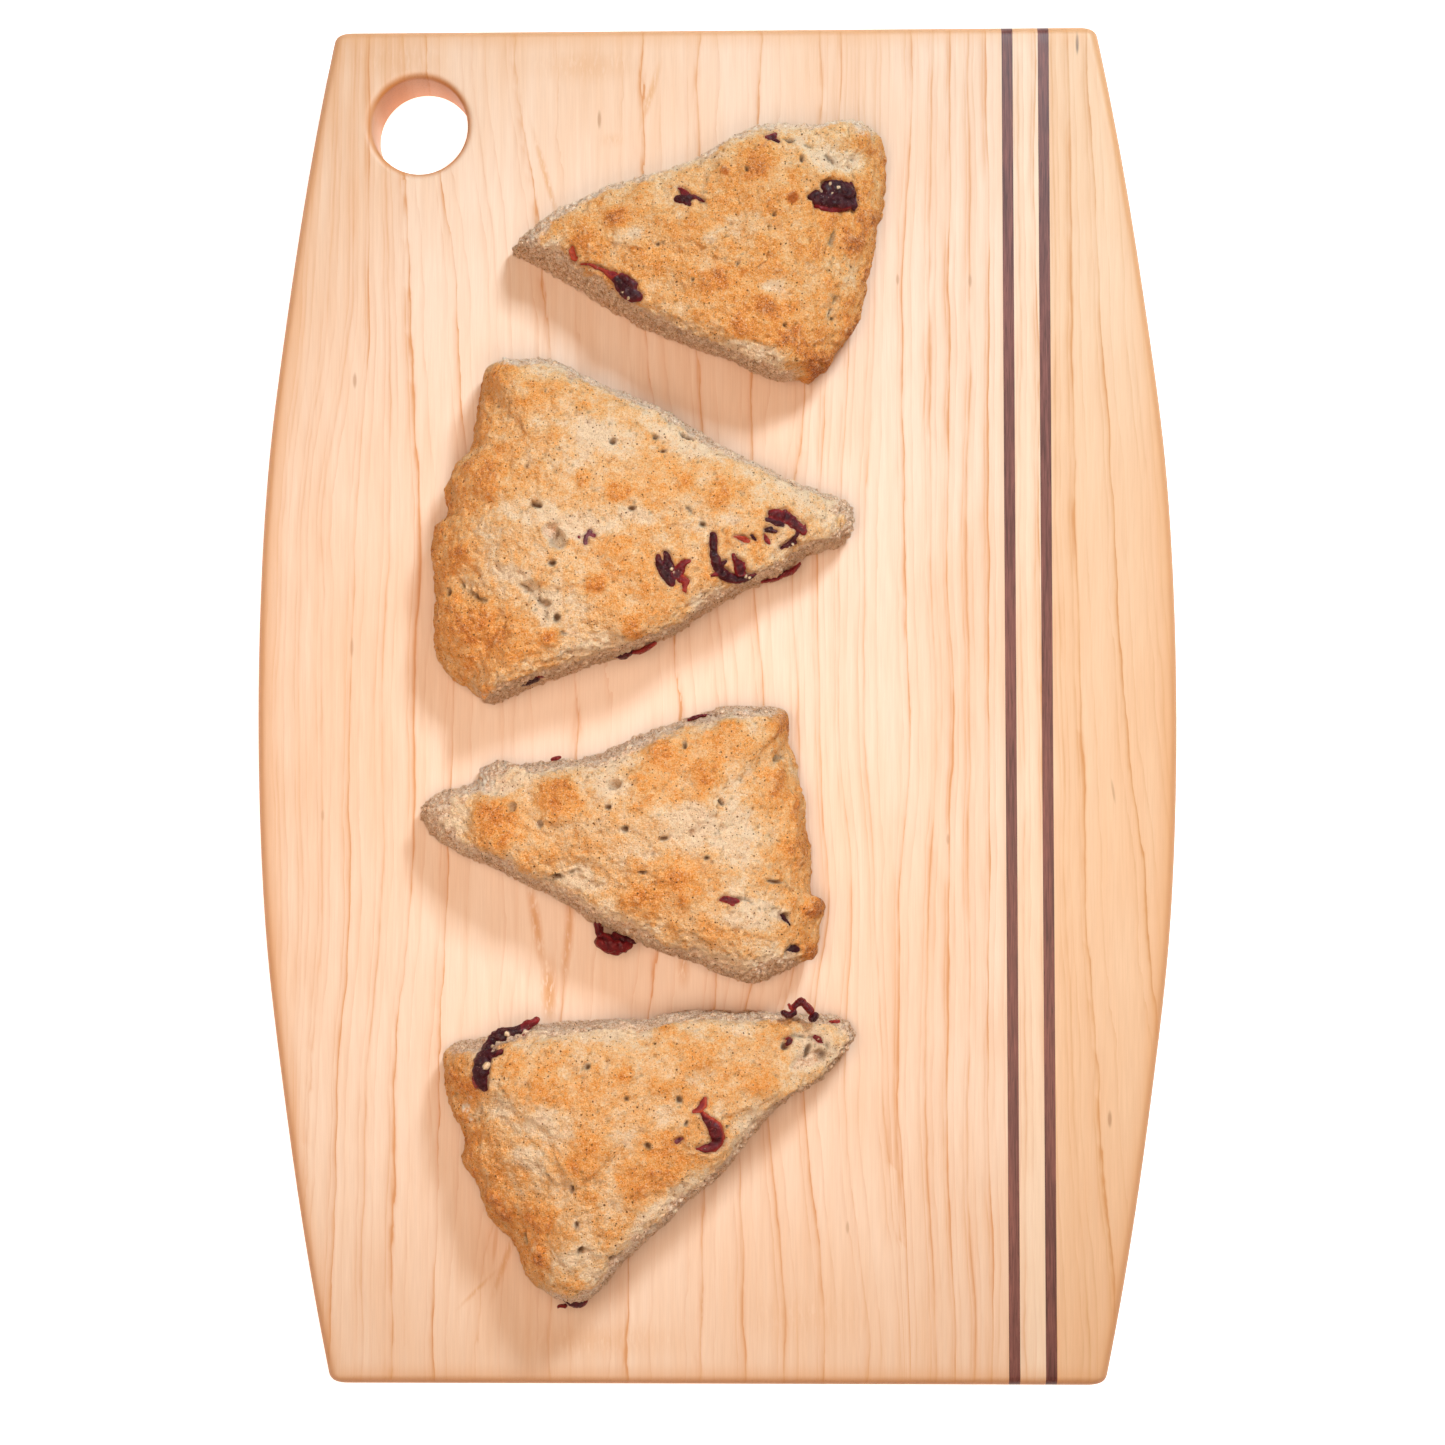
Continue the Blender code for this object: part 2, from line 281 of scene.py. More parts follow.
bpy.context.scene.camera = cam

# =====================================================================
# The board
# =====================================================================
LENGTH = 355.6
HALF_L = LENGTH / 2
MID, END = 119.2, 100.6
BOW = MID - END
BOW_R = (HALF_L ** 2 + BOW ** 2) / (2 * BOW)
ROUND = 2.8
CORNER = 2.6
HOLE = (-78.3, HALF_L - 25.4, 12.7)
S1A, S1B, S2A, S2B = 75.6, 78.5, 85.1, 88.0

# Growth lines of the wide maple panel: y stations in mm, then for each line
# the ring count where it lies and its x at each station.
Y_AT = np.array([172.0, 105.0, 42.0, -3.0, -52.0, -104.0, -165.0])
GUIDES = [
    (-6.0, [-132, -134, -136, -137, -136, -133, -130]),
    (-2.0, [-103, -108, -114, -115, -114, -113, -112]),
    (0.0, [-95, -96, -104, -104, -103, -106, -109]),
    (3.0, [-83, -81, -77, -79, -80, -84, -84]),
    (4.0, [-77, -68, -64, -69, -70, -72, -73]),
    (5.0, [-64, -58, -54, -53, -52, -54, -63]),
    (6.0, [-53, -45, -39, -36, -38, -42, -43]),
    (7.0, [-18, -19, -12, -9, -14, -20, -24]),
    (8.0, [-4, -5, -1, 3, 2, -2, -4]),
    (10.0, [28, 25, 20, 22, 24, 13, 18]),
    (13.0, [43, 42, 39, 38, 41, 44, 49]),
    (14.0, [52, 50, 50, 51, 48, 47, 49.5]),
    (15.0, [58, 57, 57, 58, 56, 54, 57]),
    (17.0, [67, 66.5, 66, 66, 66, 65, 67]),
    (20.0, [82, 82, 82, 82, 82, 82, 82]),
]
EDGE_GUIDES = [
    (0.0, [80, 80, 80, 80, 80, 80, 80]),
    (3.0, [93, 94, 94, 95, 96, 99, 104]),
    (4.0, [98, 101, 105, 107, 112, 117, 121]),
    (6.0, [112, 118, 122, 126, 130, 133, 136]),
    (9.0, [136, 140, 144, 148, 150, 152, 154]),
]


def rings(co, guides, seed):
    """Ring count and ring spacing (mm) of wood at points in mm."""
    x, y, z = co[:, 0], co[:, 1], co[:, 2]
    flat = np.c_[x, y, np.zeros(len(x))]
    warp = 1.5 * fbm(flat * [1, 0.25, 1], 16, 2, seed=seed) + 0.35 * fbm(flat * [1, 0.3, 1], 3.5, 2, seed=seed + 5)
    warp = warp + 0.10 * (TOP - z)
    xw = x + warp
    stations = Y_AT[::-1]
    table = np.array([g[1][::-1] for g in guides], float)     # guides x stations
    counts = np.array([g[0] for g in guides], float)
    yy = np.clip(y, stations[0], stations[-1])
    k = np.clip(np.searchsorted(stations, yy) - 1, 0, len(stations) - 2)
    f = (yy - stations[k]) / (stations[k + 1] - stations[k])
    f = f * f * (3 - 2 * f) * 0.6 + f * 0.4
    at = table[:, k] * (1 - f) + table[:, k + 1] * f           # guides x points
    t = np.zeros(len(x))
    for n in range(len(counts) - 1):
        lo, hi = at[n], at[n + 1]
        inside = (xw >= lo) if n else np.ones(len(x), bool)
        s = (xw - lo) / (hi - lo)
        t = np.where(inside, counts[n] + s * (counts[n + 1] - counts[n]), t)
    gap = np.zeros(len(x))
    for n in range(len(counts) - 1):
        inside = (xw >= at[n]) if n else np.ones(len(x), bool)
        gap = np.where(inside, (at[n + 1] - at[n]) / (counts[n + 1] - counts[n]), gap)
    return t, gap


def half_width(y):
    """The bowed side: a little fuller about the middle than a plain arc."""
    fuller = 1.38 / (1 + (np.abs(y) / 86.0) ** 7)
    return MID + fuller - BOW_R + np.sqrt(BOW_R ** 2 - y * y)


def slab(name, x_low, x_high, columns):
    """A strip of the board: rounded at the ends, and on its long side where it has one.
    x_low or x_high None stands for the board's bowed side."""
    arc = np.radians(np.linspace(0, 90, 7))
    ys, drop = [], []
    for a in arc[::-1]:
        ys.append(-HALF_L + ROUND - ROUND * math.sin(a))
        drop.append(ROUND * (1 - math.cos(a)))
    inner = np.linspace(-HALF_L + ROUND, HALF_L - ROUND, 141)[1:-1]
    ys += list(inner)
    drop += [0.0] * len(inner)
    for a in arc:
        ys.append(HALF_L - ROUND + ROUND * math.sin(a))
        drop.append(ROUND * (1 - math.cos(a)))
    verts, ring_size = [], None
    for y, e in zip(ys, drop):
        over = max(0.0, abs(y) - (HALF_L - CORNER))
        tuck = CORNER - math.sqrt(max(CORNER ** 2 - over ** 2, 0.0))
        w = float(half_width(y)) - tuck * 0.8
        lo = -w if x_low is None else x_low
        hi = w if x_high is None else x_high
        low_z, high_z = e, TOP - e
        r = min(ROUND, (high_z - low_z) / 2 - 0.01)
        ring = []
        # bottom, left to right
        left_r = r if x_low is None else 0.0
        right_r = r if x_high is None else 0.0
        xs = np.linspace(lo + left_r, hi - right_r, columns + 1)
        ring += [(x, y, low_z) for x in xs]
        if right_r:
            ring += [(hi - r + r * math.sin(a), y, low_z + r - r * math.cos(a)) for a in arc[1:-1]]
            ring += [(hi, y, z) for z in np.linspace(low_z + r, high_z - r, 4)]
            ring += [(hi - r + r * math.cos(a), y, high_z - r + r * math.sin(a)) for a in arc[1:-1]]
        ring += [(x, y, high_z) for x in xs[::-1]]
        if left_r:
            ring += [(lo + r - r * math.sin(a), y, high_z - r + r * math.cos(a)) for a in arc[1:-1]]
            ring += [(lo, y, z) for z in np.linspace(high_z - r, low_z + r, 4)]
            ring += [(lo + r - r * math.cos(a), y, low_z + r - r * math.sin(a)) for a in arc[1:-1]]
        ring_size = len(ring)
        verts += ring
    faces = []
    n = ring_size
    for j in range(len(ys) - 1):
        for i in range(n):
            k = (i + 1) % n
            faces.append((j * n + i, (j + 1) * n + i, (j + 1) * n + k, j * n + k))
    faces.append(tuple(range(n)))
    faces.append(tuple(reversed([(len(ys) - 1) * n + i for i in range(n)])))
    mesh = mesh_from(name, np.array(verts) * MM, faces)
    bm = bmesh.new()
    bm.from_mesh(mesh)
    bmesh.ops.recalc_face_normals(bm, faces=bm.faces)
    bm.to_mesh(mesh)
    bm.free()
    mesh.shade_smooth()
    mesh.set_sharp_from_angle(angle=math.radians(50))
    return link(mesh, name)


def bore(obj):
    """Cuts the hanging hole with its eased rims."""
    r, e = HOLE[2], 2.2
    prof = [(r + e + 3, -3.0)]
    for a in np.radians(np.linspace(0, 90, 7)):
        prof.append((r + e * (1 - math.sin(a)), e * (1 - math.cos(a))))
    prof += [(q, TOP - z) for q, z in prof[::-1]]
    verts, faces = [], []
    seg = 96
    for q, z in prof:
        for i in range(seg):
            t = 2 * math.pi * i / seg
            verts.append((HOLE[0] + q * math.cos(t), HOLE[1] + q * math.sin(t), z))
    for j in range(len(prof) - 1):
        for i in range(seg):
            k = (i + 1) % seg
            faces.append((j * seg + i, j * seg + k, (j + 1) * seg + k, (j + 1) * seg + i))
    faces.append(tuple(reversed(range(seg))))
    faces.append(tuple((len(prof) - 1) * seg + i for i in range(seg)))
    cutter = link(mesh_from("cutter", np.array(verts) * MM, faces), "cutter")
    mod = obj.modifiers.new("bore", "BOOLEAN")
    mod.operation = "DIFFERENCE"
    mod.solver = "EXACT"
    mod.object = cutter
    applied(obj)
    bpy.data.objects.remove(cutter)
    obj.data.shade_smooth()
    obj.data.set_sharp_from_angle(angle=math.radians(50))


def fleck(n, at, x, y, half_x, half_y, soft=1.0, lean=0.0):
    """0 to 1 inside a small long mark on the wood at x, y mm; `at` is the mm coordinate."""
    sep = n.add("ShaderNodeSeparateXYZ", Vector=at)
    dy = n.math("SUBTRACT", sep.outputs[1], y)
    dx = n.math("SUBTRACT", n.math("SUBTRACT", sep.outputs[0], x), n.mul(dy, lean))
    qx = n.mul(dx, 1 / half_x)
    qy = n.mul(dy, 1 / half_y)
    d = n.math("SQRT", n.plus(n.mul(qx, qx), n.mul(qy, qy)))
    return n.span(d, max(0.0, 1.0 - soft), 1.0 + 0.35 * soft, 1.0, 0.0)


def maple(name, cream, peach, line, flecks=(), streaks=(), warm=(0.0, 0.0)):
    n = Nodes(name)
    mm = n.mm()
    t = n.attr("ring")
    gap = n.attr("gap")
    fine = n.noise(n.mm((1.0, 0.035, 0.6)), 2.6, 3.0, 0.6)
    mid = n.noise(n.mm((1.0, 0.06, 0.6)), 0.42, 2.0, 0.5)
    cloud = n.noise(n.mm((1.0, 0.45, 1.0)), 0.028, 2.0, 0.5)
    # growth lines: a crisp late edge with a soft run-up, each ring with its own strength
    wob = n.plus(t, n.mul(n.plus(n.noise(n.mm((1.0, 0.16, 1.0)), 0.36, 3.0, 0.55), -0.5), 0.20))
    g = n.math("FRACT", wob)
    whole = n.math("FLOOR", wob)
    far = n.mul(n.math("SUBTRACT", 1.0, g), gap)
    white = n.add("ShaderNodeTexWhiteNoise", _noise_dimensions="1D")
    n.plug(white.inputs["W"], whole)
    own = n.span(white.outputs["Value"], 0.0, 1.0, 0.22, 1.0, smooth=False)
    along = n.span(n.noise(n.mm((0.25, 0.03, 0.25)), 0.9, 3.0, 0.6), 0.35, 0.62, 0.35, 1.0)
    crisp = n.math("POWER", 2.718, n.mul(far, -1.9))
    soft = n.math("POWER", 2.718, n.mul(far, -0.42))
    after = n.math("POWER", 2.718, n.mul(n.mul(g, gap), -3.6))
    ring = n.plus(n.mul(crisp, 0.72), n.plus(n.mul(soft, 0.16), n.mul(after, 0.45)))
    ring = n.mul(n.mul(ring, own), along)
    # second family of faint lines between the first
    g2 = n.math("FRACT", n.plus(n.mul(wob, 2.0), 0.37))
    far2 = n.mul(n.math("SUBTRACT", 1.0, g2), n.mul(gap, 0.5))
    faint = n.mul(n.mul(n.math("POWER", 2.718, n.mul(far2, -1.6)), 0.18), along)
    ring = n.plus(ring, faint)
    # warmer towards the board's rim
    sep = n.add("ShaderNodeSeparateXYZ", Vector=mm)
    rim_y = n.span(n.math("ABSOLUTE", sep.outputs[1]), 95, 185)
    rim_x = n.span(n.math("ABSOLUTE", sep.outputs[0]), 60, 125)
    rim = n.plus(n.mul(rim_y, warm[0]), n.mul(rim_x, warm[1]))
    tone = n.plus(n.span(cloud, 0.3, 0.7, -0.18, 0.42, smooth=False), rim)
    tone = n.plus(tone, n.span(mid, 0.3, 0.7, -0.16, 0.16, smooth=False))
    colour = n.mix(n.math("ADD", tone, 0.0, clamp=True), cream, peach)
    colour = n.mix(n.math("MULTIPLY", ring, 2.0, clamp=True), colour, line)
    for x, y, hx, hy, lean, strength, shade in streaks:
        rag = n.noise(n.mm((1.0, 0.25, 1.0)), 1.1, 3.0, 0.6)
        m = n.mul(fleck(n, mm, x, y, hx, hy, 1.0, lean), n.mul(n.span(rag, 0.30, 0.52), min(1.0, 1.3 * strength)))
        colour = n.mix(m, colour, shade)
    for x, y, hx, hy, lean, strength, shade in flecks:
        colour = n.mix(n.mul(fleck(n, mm, x, y, hx, hy, 0.6, lean), strength), colour, shade)
    colour = n.mix(n.span(fine, 0.25, 0.75, 0.0, 0.16, smooth=False), colour, (0.50, 0.32, 0.20), "MULTIPLY")
    # the faces darken in the last few millimetres before the rounded edge
    bow = n.mul(n.math("POWER", n.math("ABSOLUTE", n.mul(sep.outputs[1], 1 / 177.8)), 2.0), 18.6)
    brink = n.math("MAXIMUM", n.span(n.math("ABSOLUTE", sep.outputs[1]), 171.0, 178.0, 0.0, 0.60),
                   n.span(n.plus(n.math("ABSOLUTE", sep.outputs[0]), bow), 113.5, 119.5, 0.0, 0.60))
    colour = n.mix(brink, colour, (0.700, 0.360, 0.170))
    # end grain is darker and denser; the long sides get the same darker mix as painted shade
    geo = n.add("ShaderNodeNewGeometry")
    side = n.add("ShaderNodeSeparateXYZ", Vector=geo.outputs["Normal"])
    end = n.span(n.math("ABSOLUTE", side.outputs[1]), 0.10, 0.80, 0.0, 0.66)
    edge = n.span(n.math("ABSOLUTE", side.outputs[0]), 0.08, 0.80, 0.0, 0.60)
    colour = n.mix(n.math("MULTIPLY", n.plus(end, edge), 1.0, clamp=True), colour, (0.620, 0.255, 0.085))
    dots = n.mul(n.span(n.noise(n.mm((1.0, 1.0, 1.0)), 2.4, 2.0, 0.6), 0.54, 0.66, 0.0, 0.45), end)
    colour = n.mix(dots, colour, (0.34, 0.15, 0.06))
    pores = n.noise(n.mm((1.0, 0.10, 1.0)), 4.5, 2.0, 0.5)
    rough = n.span(fine, 0.2, 0.8, 0.40, 0.52, smooth=False)
    bump = n.bump(pores, 0.10, 0.10)
    return n.finish(Base__Color=colour, Roughness=rough, Normal=bump, Specular__IOR__Level=0.38)


def dark_wood(name, a, b):
    n = Nodes(name)
    fibre = n.noise(n.mm((1.0, 0.03, 0.6)), 3.2, 3.0, 0.65)
    blotch = n.noise(n.mm((1.0, 0.12, 1.0)), 0.22, 3.0, 0.6)
    f = n.plus(n.mul(fibre, 0.65), n.mul(blotch, 0.35))
    colour = n.mix(n.span(f, 0.34, 0.66), a, b)
    pores = n.noise(n.mm((1.0, 0.06, 1.0)), 5.5, 2.0, 0.5)
    dots = n.span(pores, 0.60, 0.70, 0.0, 0.45)
    colour = n.mix(dots, colour, (0.035, 0.014, 0.012))
    return n.finish(Base__Color=colour, Roughness=n.span(fibre, 0.2, 0.8, 0.38, 0.5, smooth=False),
                    Normal=n.bump(pores, 0.12, 0.10), Specular__IOR__Level=0.4)


CREAM = (0.835, 0.650, 0.530)
PEACH = (0.760, 0.490, 0.325)
LINE = (0.640, 0.300, 0.130)
TAN = (0.66, 0.34, 0.15)
FLECK = (0.36, 0.17, 0.08)

panel_flecks = [
    (-30.5, 153.5, 0.55, 2.6, 0.0, 0.55, FLECK), (48.0, 110.5, 0.5, 1.6, 0.0, 0.45, FLECK),
    (67.0, 110.0, 0.5, 1.9, 0.0, 0.45, FLECK), (-95.0, 84.5, 0.6, 2.2, 0.0, 0.5, FLECK),
    (-24.0, -63.0, 0.5, 1.2, 0.0, 0.3, FLECK), (60.5, -36.5, 0.5, 1.6, 0.0, 0.4, FLECK),
    (-57.5, -141.0, 0.7, 6.0, 0.1, 0.5, LINE), (55.0, 80.0, 0.4, 9.0, 0.08, 0.35, LINE),
    (-95.5, 14.0, 0.5, 2.8, 0.0, 0.4, FLECK), (-103.0, -30.0, 0.5, 1.6, 0.0, 0.3, FLECK),
    (34.0, -137.0, 0.5, 1.8, 0.0, 0.4, FLECK)]
panel_streaks = [
    (-47.0, -58.0, 1.6, 13.0, -0.16, 0.75, TAN), (-38.5, -62.0, 1.5, 16.0, 0.10, 0.65, TAN),
    (-43.5, -76.0, 2.4, 9.0, 0.0, 0.8, TAN), (-8.5, -69.0, 2.0, 6.5, 0.0, 0.55, TAN),
    (-55.0, -146.0, 1.1, 10.0, 0.35, 0.6, TAN), (-62.0, -153.0, 1.0, 5.0, 1.0, 0.5, TAN),
    (-44.5, 138.0, 1.0, 14.0, -0.28, 0.55, TAN), (-27.0, 148.0, 3.2, 2.0, 0.0, 0.25, TAN),
    (-39.0, 128.5, 4.0, 1.2, 0.25, 0.45, TAN), (-34.0, 168.0, 14.0, 5.0, 0.0, 0.28, TAN),
    (-84.0, 170.0, 16.0, 5.0, 0.0, 0.22, TAN), (-17.0, 160.0, 1.2, 9.0, 0.30, 0.55, TAN),
    (-30.0, -166.0, 22.0, 5.0, 0.0, 0.25, TAN), (22.0, -160.0, 18.0, 8.0, 0.0, 0.15, TAN)]
MAPLE_PANEL = maple("maple_panel", CREAM, PEACH, LINE, panel_flecks, panel_streaks, (0.50, 0.34))
MAPLE_STRIP = maple("maple_strip_wood", (0.84, 0.66, 0.52), (0.80, 0.57, 0.40), LINE, (), (), (0.12, 0.0))
MAPLE_EDGE = maple("maple_edge", (0.80, 0.56, 0.385), (0.77, 0.475, 0.285), (0.62, 0.30, 0.12),
                   [(95.5, 173.0, 0.45, 3.2, 0.0, 0.75, (0.10, 0.06, 0.05)), (102.0, -109.0, 0.6, 2.4, 0.0, 0.6, FLECK),
                    (103.5, -24.0, 0.4, 3.4, -0.15, 0.4, FLECK)], (), (0.50, 0.2))
DARK = dark_wood("dark_stripe_wood", (0.085, 0.025, 0.023), (0.235, 0.078, 0.064))


def board_piece(name, node, x_low, x_high, columns, guides, seed, mat):
    obj = slab(name, x_low, x_high, columns)
    if node == "main_panel":
        bore(obj)
    t, gap = rings(points_of(obj.data) / MM, guides, seed)
    paint(obj.data, "ring", t)
    paint(obj.data, "gap", gap)
    obj.data.materials.clear()
    obj.data.materials.append(mat)
    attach(obj, "board")
    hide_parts(node)
    return obj


board_piece("board_main_panel", "main_panel", None, S1A, 90, GUIDES, 3, MAPLE_PANEL)
board_piece("board_dark_stripe_left", "dark_stripe_left", S1A, S1B, 3, GUIDES, 7, DARK)
board_piece("board_maple_strip", "maple_strip", S1B, S2A, 6, EDGE_GUIDES, 9, MAPLE_STRIP)
board_piece("board_dark_stripe_right", "dark_stripe_right", S2A, S2B, 3, GUIDES, 11, DARK)
board_piece("board_edge_panel", "edge_panel", S2B, None, 16, EDGE_GUIDES, 13, MAPLE_EDGE)


# =====================================================================
# The scones: wedges torn from a round, modelled as a lofted body, remeshed
# finely, then worked over point by point
# =====================================================================
def closed_curve(points, spacing=0.7):
    """Closed Catmull-Rom curve through the points, at even steps of about `spacing` mm."""
    p = np.array(points, float)
    area = np.sum(p[:, 0] * np.roll(p[:, 1], -1) - np.roll(p[:, 0], -1) * p[:, 1])
    if area < 0:
        p = np.r_[p[:1], p[:0:-1]]
    dense = []
    for i in range(len(p)):
        p0, p1, p2, p3 = (p[(i + k - 1) % len(p)] for k in range(4))
        for t in np.linspace(0, 1, 16, endpoint=False):
            dense.append(0.5 * (2 * p1 + (p2 - p0) * t + (2 * p0 - 5 * p1 + 4 * p2 - p3) * t * t
                                + (3 * p1 - p0 - 3 * p2 + p3) * t ** 3))
    dense = np.array(dense)
    loop = np.r_[dense, dense[:1]]
    s = np.r_[0, np.cumsum(np.linalg.norm(np.diff(loop, axis=0), axis=1))]
    want = np.arange(0, s[-1], s[-1] / round(s[-1] / spacing))
    return np.c_[np.interp(want, s, loop[:, 0]), np.interp(want, s, loop[:, 1])]


def open_curve(points, spacing=0.35):
    p = np.array(points, float)
    p = np.r_[[2 * p[0] - p[1]], p, [2 * p[-1] - p[-2]]]
    dense = []
    for i in range(len(p) - 3):
        p0, p1, p2, p3 = p[i:i + 4]
        for t in np.linspace(0, 1, 14, endpoint=False):
            dense.append(0.5 * (2 * p1 + (p2 - p0) * t + (2 * p0 - 5 * p1 + 4 * p2 - p3) * t * t
                                + (3 * p1 - p0 - 3 * p2 + p3) * t ** 3))
    dense = np.array(dense + [p[-2]])
    s = np.r_[0, np.cumsum(np.linalg.norm(np.diff(dense, axis=0), axis=1))]
    want = np.linspace(0, s[-1], max(4, int(s[-1] / spacing)))
    return np.stack([np.interp(want, s, dense[:, k]) for k in range(dense.shape[1])], axis=1)


def to_line(xy, line):
    """Distance of points to a polyline, both in the plane."""
    best = np.full(len(xy), 1e9)
    for a, b in zip(line[:-1], line[1:]):
        d = b - a
        t = np.clip(((xy - a) @ d) / max(d @ d, 1e-9), 0, 1)
        best = np.minimum(best, np.linalg.norm(xy - a - t[:, None] * d, axis=1))
    return best


def stroke_points(strokes):
    """Centres, radii and brightness along a berry's strokes, closely spaced."""
    out = []
    for bright, pts in strokes:
        p = np.array(pts, float)
        if len(p) == 1:
            out.append(np.r_[p[0], bright][None])
            continue
        line = open_curve(p, 0.22)
        out.append(np.c_[line, np.full(len(line), bright)])
    return np.concatenate(out)


def to_strokes(xy, marks):
    """Signed distance (mm) of points in the plane to the outline of a berry: negative inside."""
    best = np.full(len(xy), 1e9)
    for x, y, r, _ in marks:
        best = np.minimum(best, np.hypot(xy[:, 0] - x, xy[:, 1] - y) - r)
    return best


# inset (mm) and share of the height, from the base up
CUT_SIDE = [(1.5, 0.0), (0.5, 0.03), (0.0, 0.08), (0.1, 0.18), (0.3, 0.30), (0.7, 0.44), (1.1, 0.57),
            (1.7, 0.69), (2.6, 0.78), (4.0, 0.845), (6.2, 0.89), (9.5, 0.93), (13.5, 0.965), (18.0, 0.985)]
BAKED_SIDE = [(2.2, 0.0), (0.9, 0.03), (0.3, 0.09), (0.0, 0.19), (0.2, 0.31), (0.9, 0.43), (1.9, 0.54),
              (3.3, 0.635), (5.2, 0.72), (7.6, 0.79), (10.3, 0.85), (13.2, 0.90), (16.5, 0.945), (20.0, 0.98)]


class Scone:
    pass


def scone_shape(spec):
    s = Scone()
    s.spec = spec
    s.rim = closed_curve(spec["outline"])
    a, b, c = (np.array(spec[k], float) for k in ("apex", "corner_a", "corner_b"))
    la, lb, lc = np.linalg.norm(b - c), np.linalg.norm(a - c), np.linalg.norm(a - b)
    s.centre = (la * a + lb * b + lc * c) / (la + lb + lc)
    half = (la + lb + lc) / 2
    s.inradius = math.sqrt(half * (half - la) * (half - lb) * (half - lc)) / half
    s.apex = a
    # share of baked (outer) side at each point of the rim
    n = len(s.rim)
    ia = int(np.argmin(np.linalg.norm(s.rim - b, axis=1)))
    ib = int(np.argmin(np.linalg.norm(s.rim - c, axis=1)))
    iapex = int(np.argmin(np.linalg.norm(s.rim - a, axis=1)))
    lo, hi = sorted((ia, ib))
    baked = np.zeros(n)
    if lo < iapex < hi:
        baked[hi:] = 1
        baked[:lo + 1] = 1
    else:
        baked[lo:hi + 1] = 1
    kernel = np.ones(13) / 13
    s.baked = np.convolve(np.r_[baked[-30:], baked, baked[:30]], kernel, "same")[30:-30]
    d = s.rim - s.centre
    ang = np.arctan2(d[:, 1], d[:, 0])
    order = np.argsort(ang)
    s.ang, s.rad, s.ang_baked = ang[order], np.linalg.norm(d, axis=1)[order], s.baked[order]
    return s


def scone_place(s, co):
    """Inset from the rim in mm, share of baked side, and the crown's height factor at points in mm."""
    d = co[:, :2] - s.centre
    ang = np.arctan2(d[:, 1], d[:, 0])
    r = np.interp(ang, s.ang, s.rad, period=2 * math.pi)
    baked = np.interp(ang, s.ang, s.ang_baked, period=2 * math.pi)
    inset = s.inradius * (1 - np.linalg.norm(d, axis=1) / r)
    near = np.clip(np.linalg.norm(co[:, :2] - s.apex, axis=1) / 55.0, 0, 1)
    crown = s.spec.get("low", 0.80) + (1 - s.spec.get("low", 0.80)) * near * near * (3 - 2 * near)
    return inset, baked, crown


LEAN = 3.4          # the torn sides lean out over their feet by about this much


def lean_of(s, xy):
    """How far a side leans out at this place, and which way is out."""
    away = xy - s.centre
    out = away / np.maximum(np.linalg.norm(away, axis=1), 0.5)[:, None]
    toward = np.array([14.0, -30.0]) - s.centre
    reach = np.linalg.norm(toward)
    f = np.clip((out @ (toward / reach)), 0, 1) * min(1.0, reach / 125.0)
    return out, LEAN * f


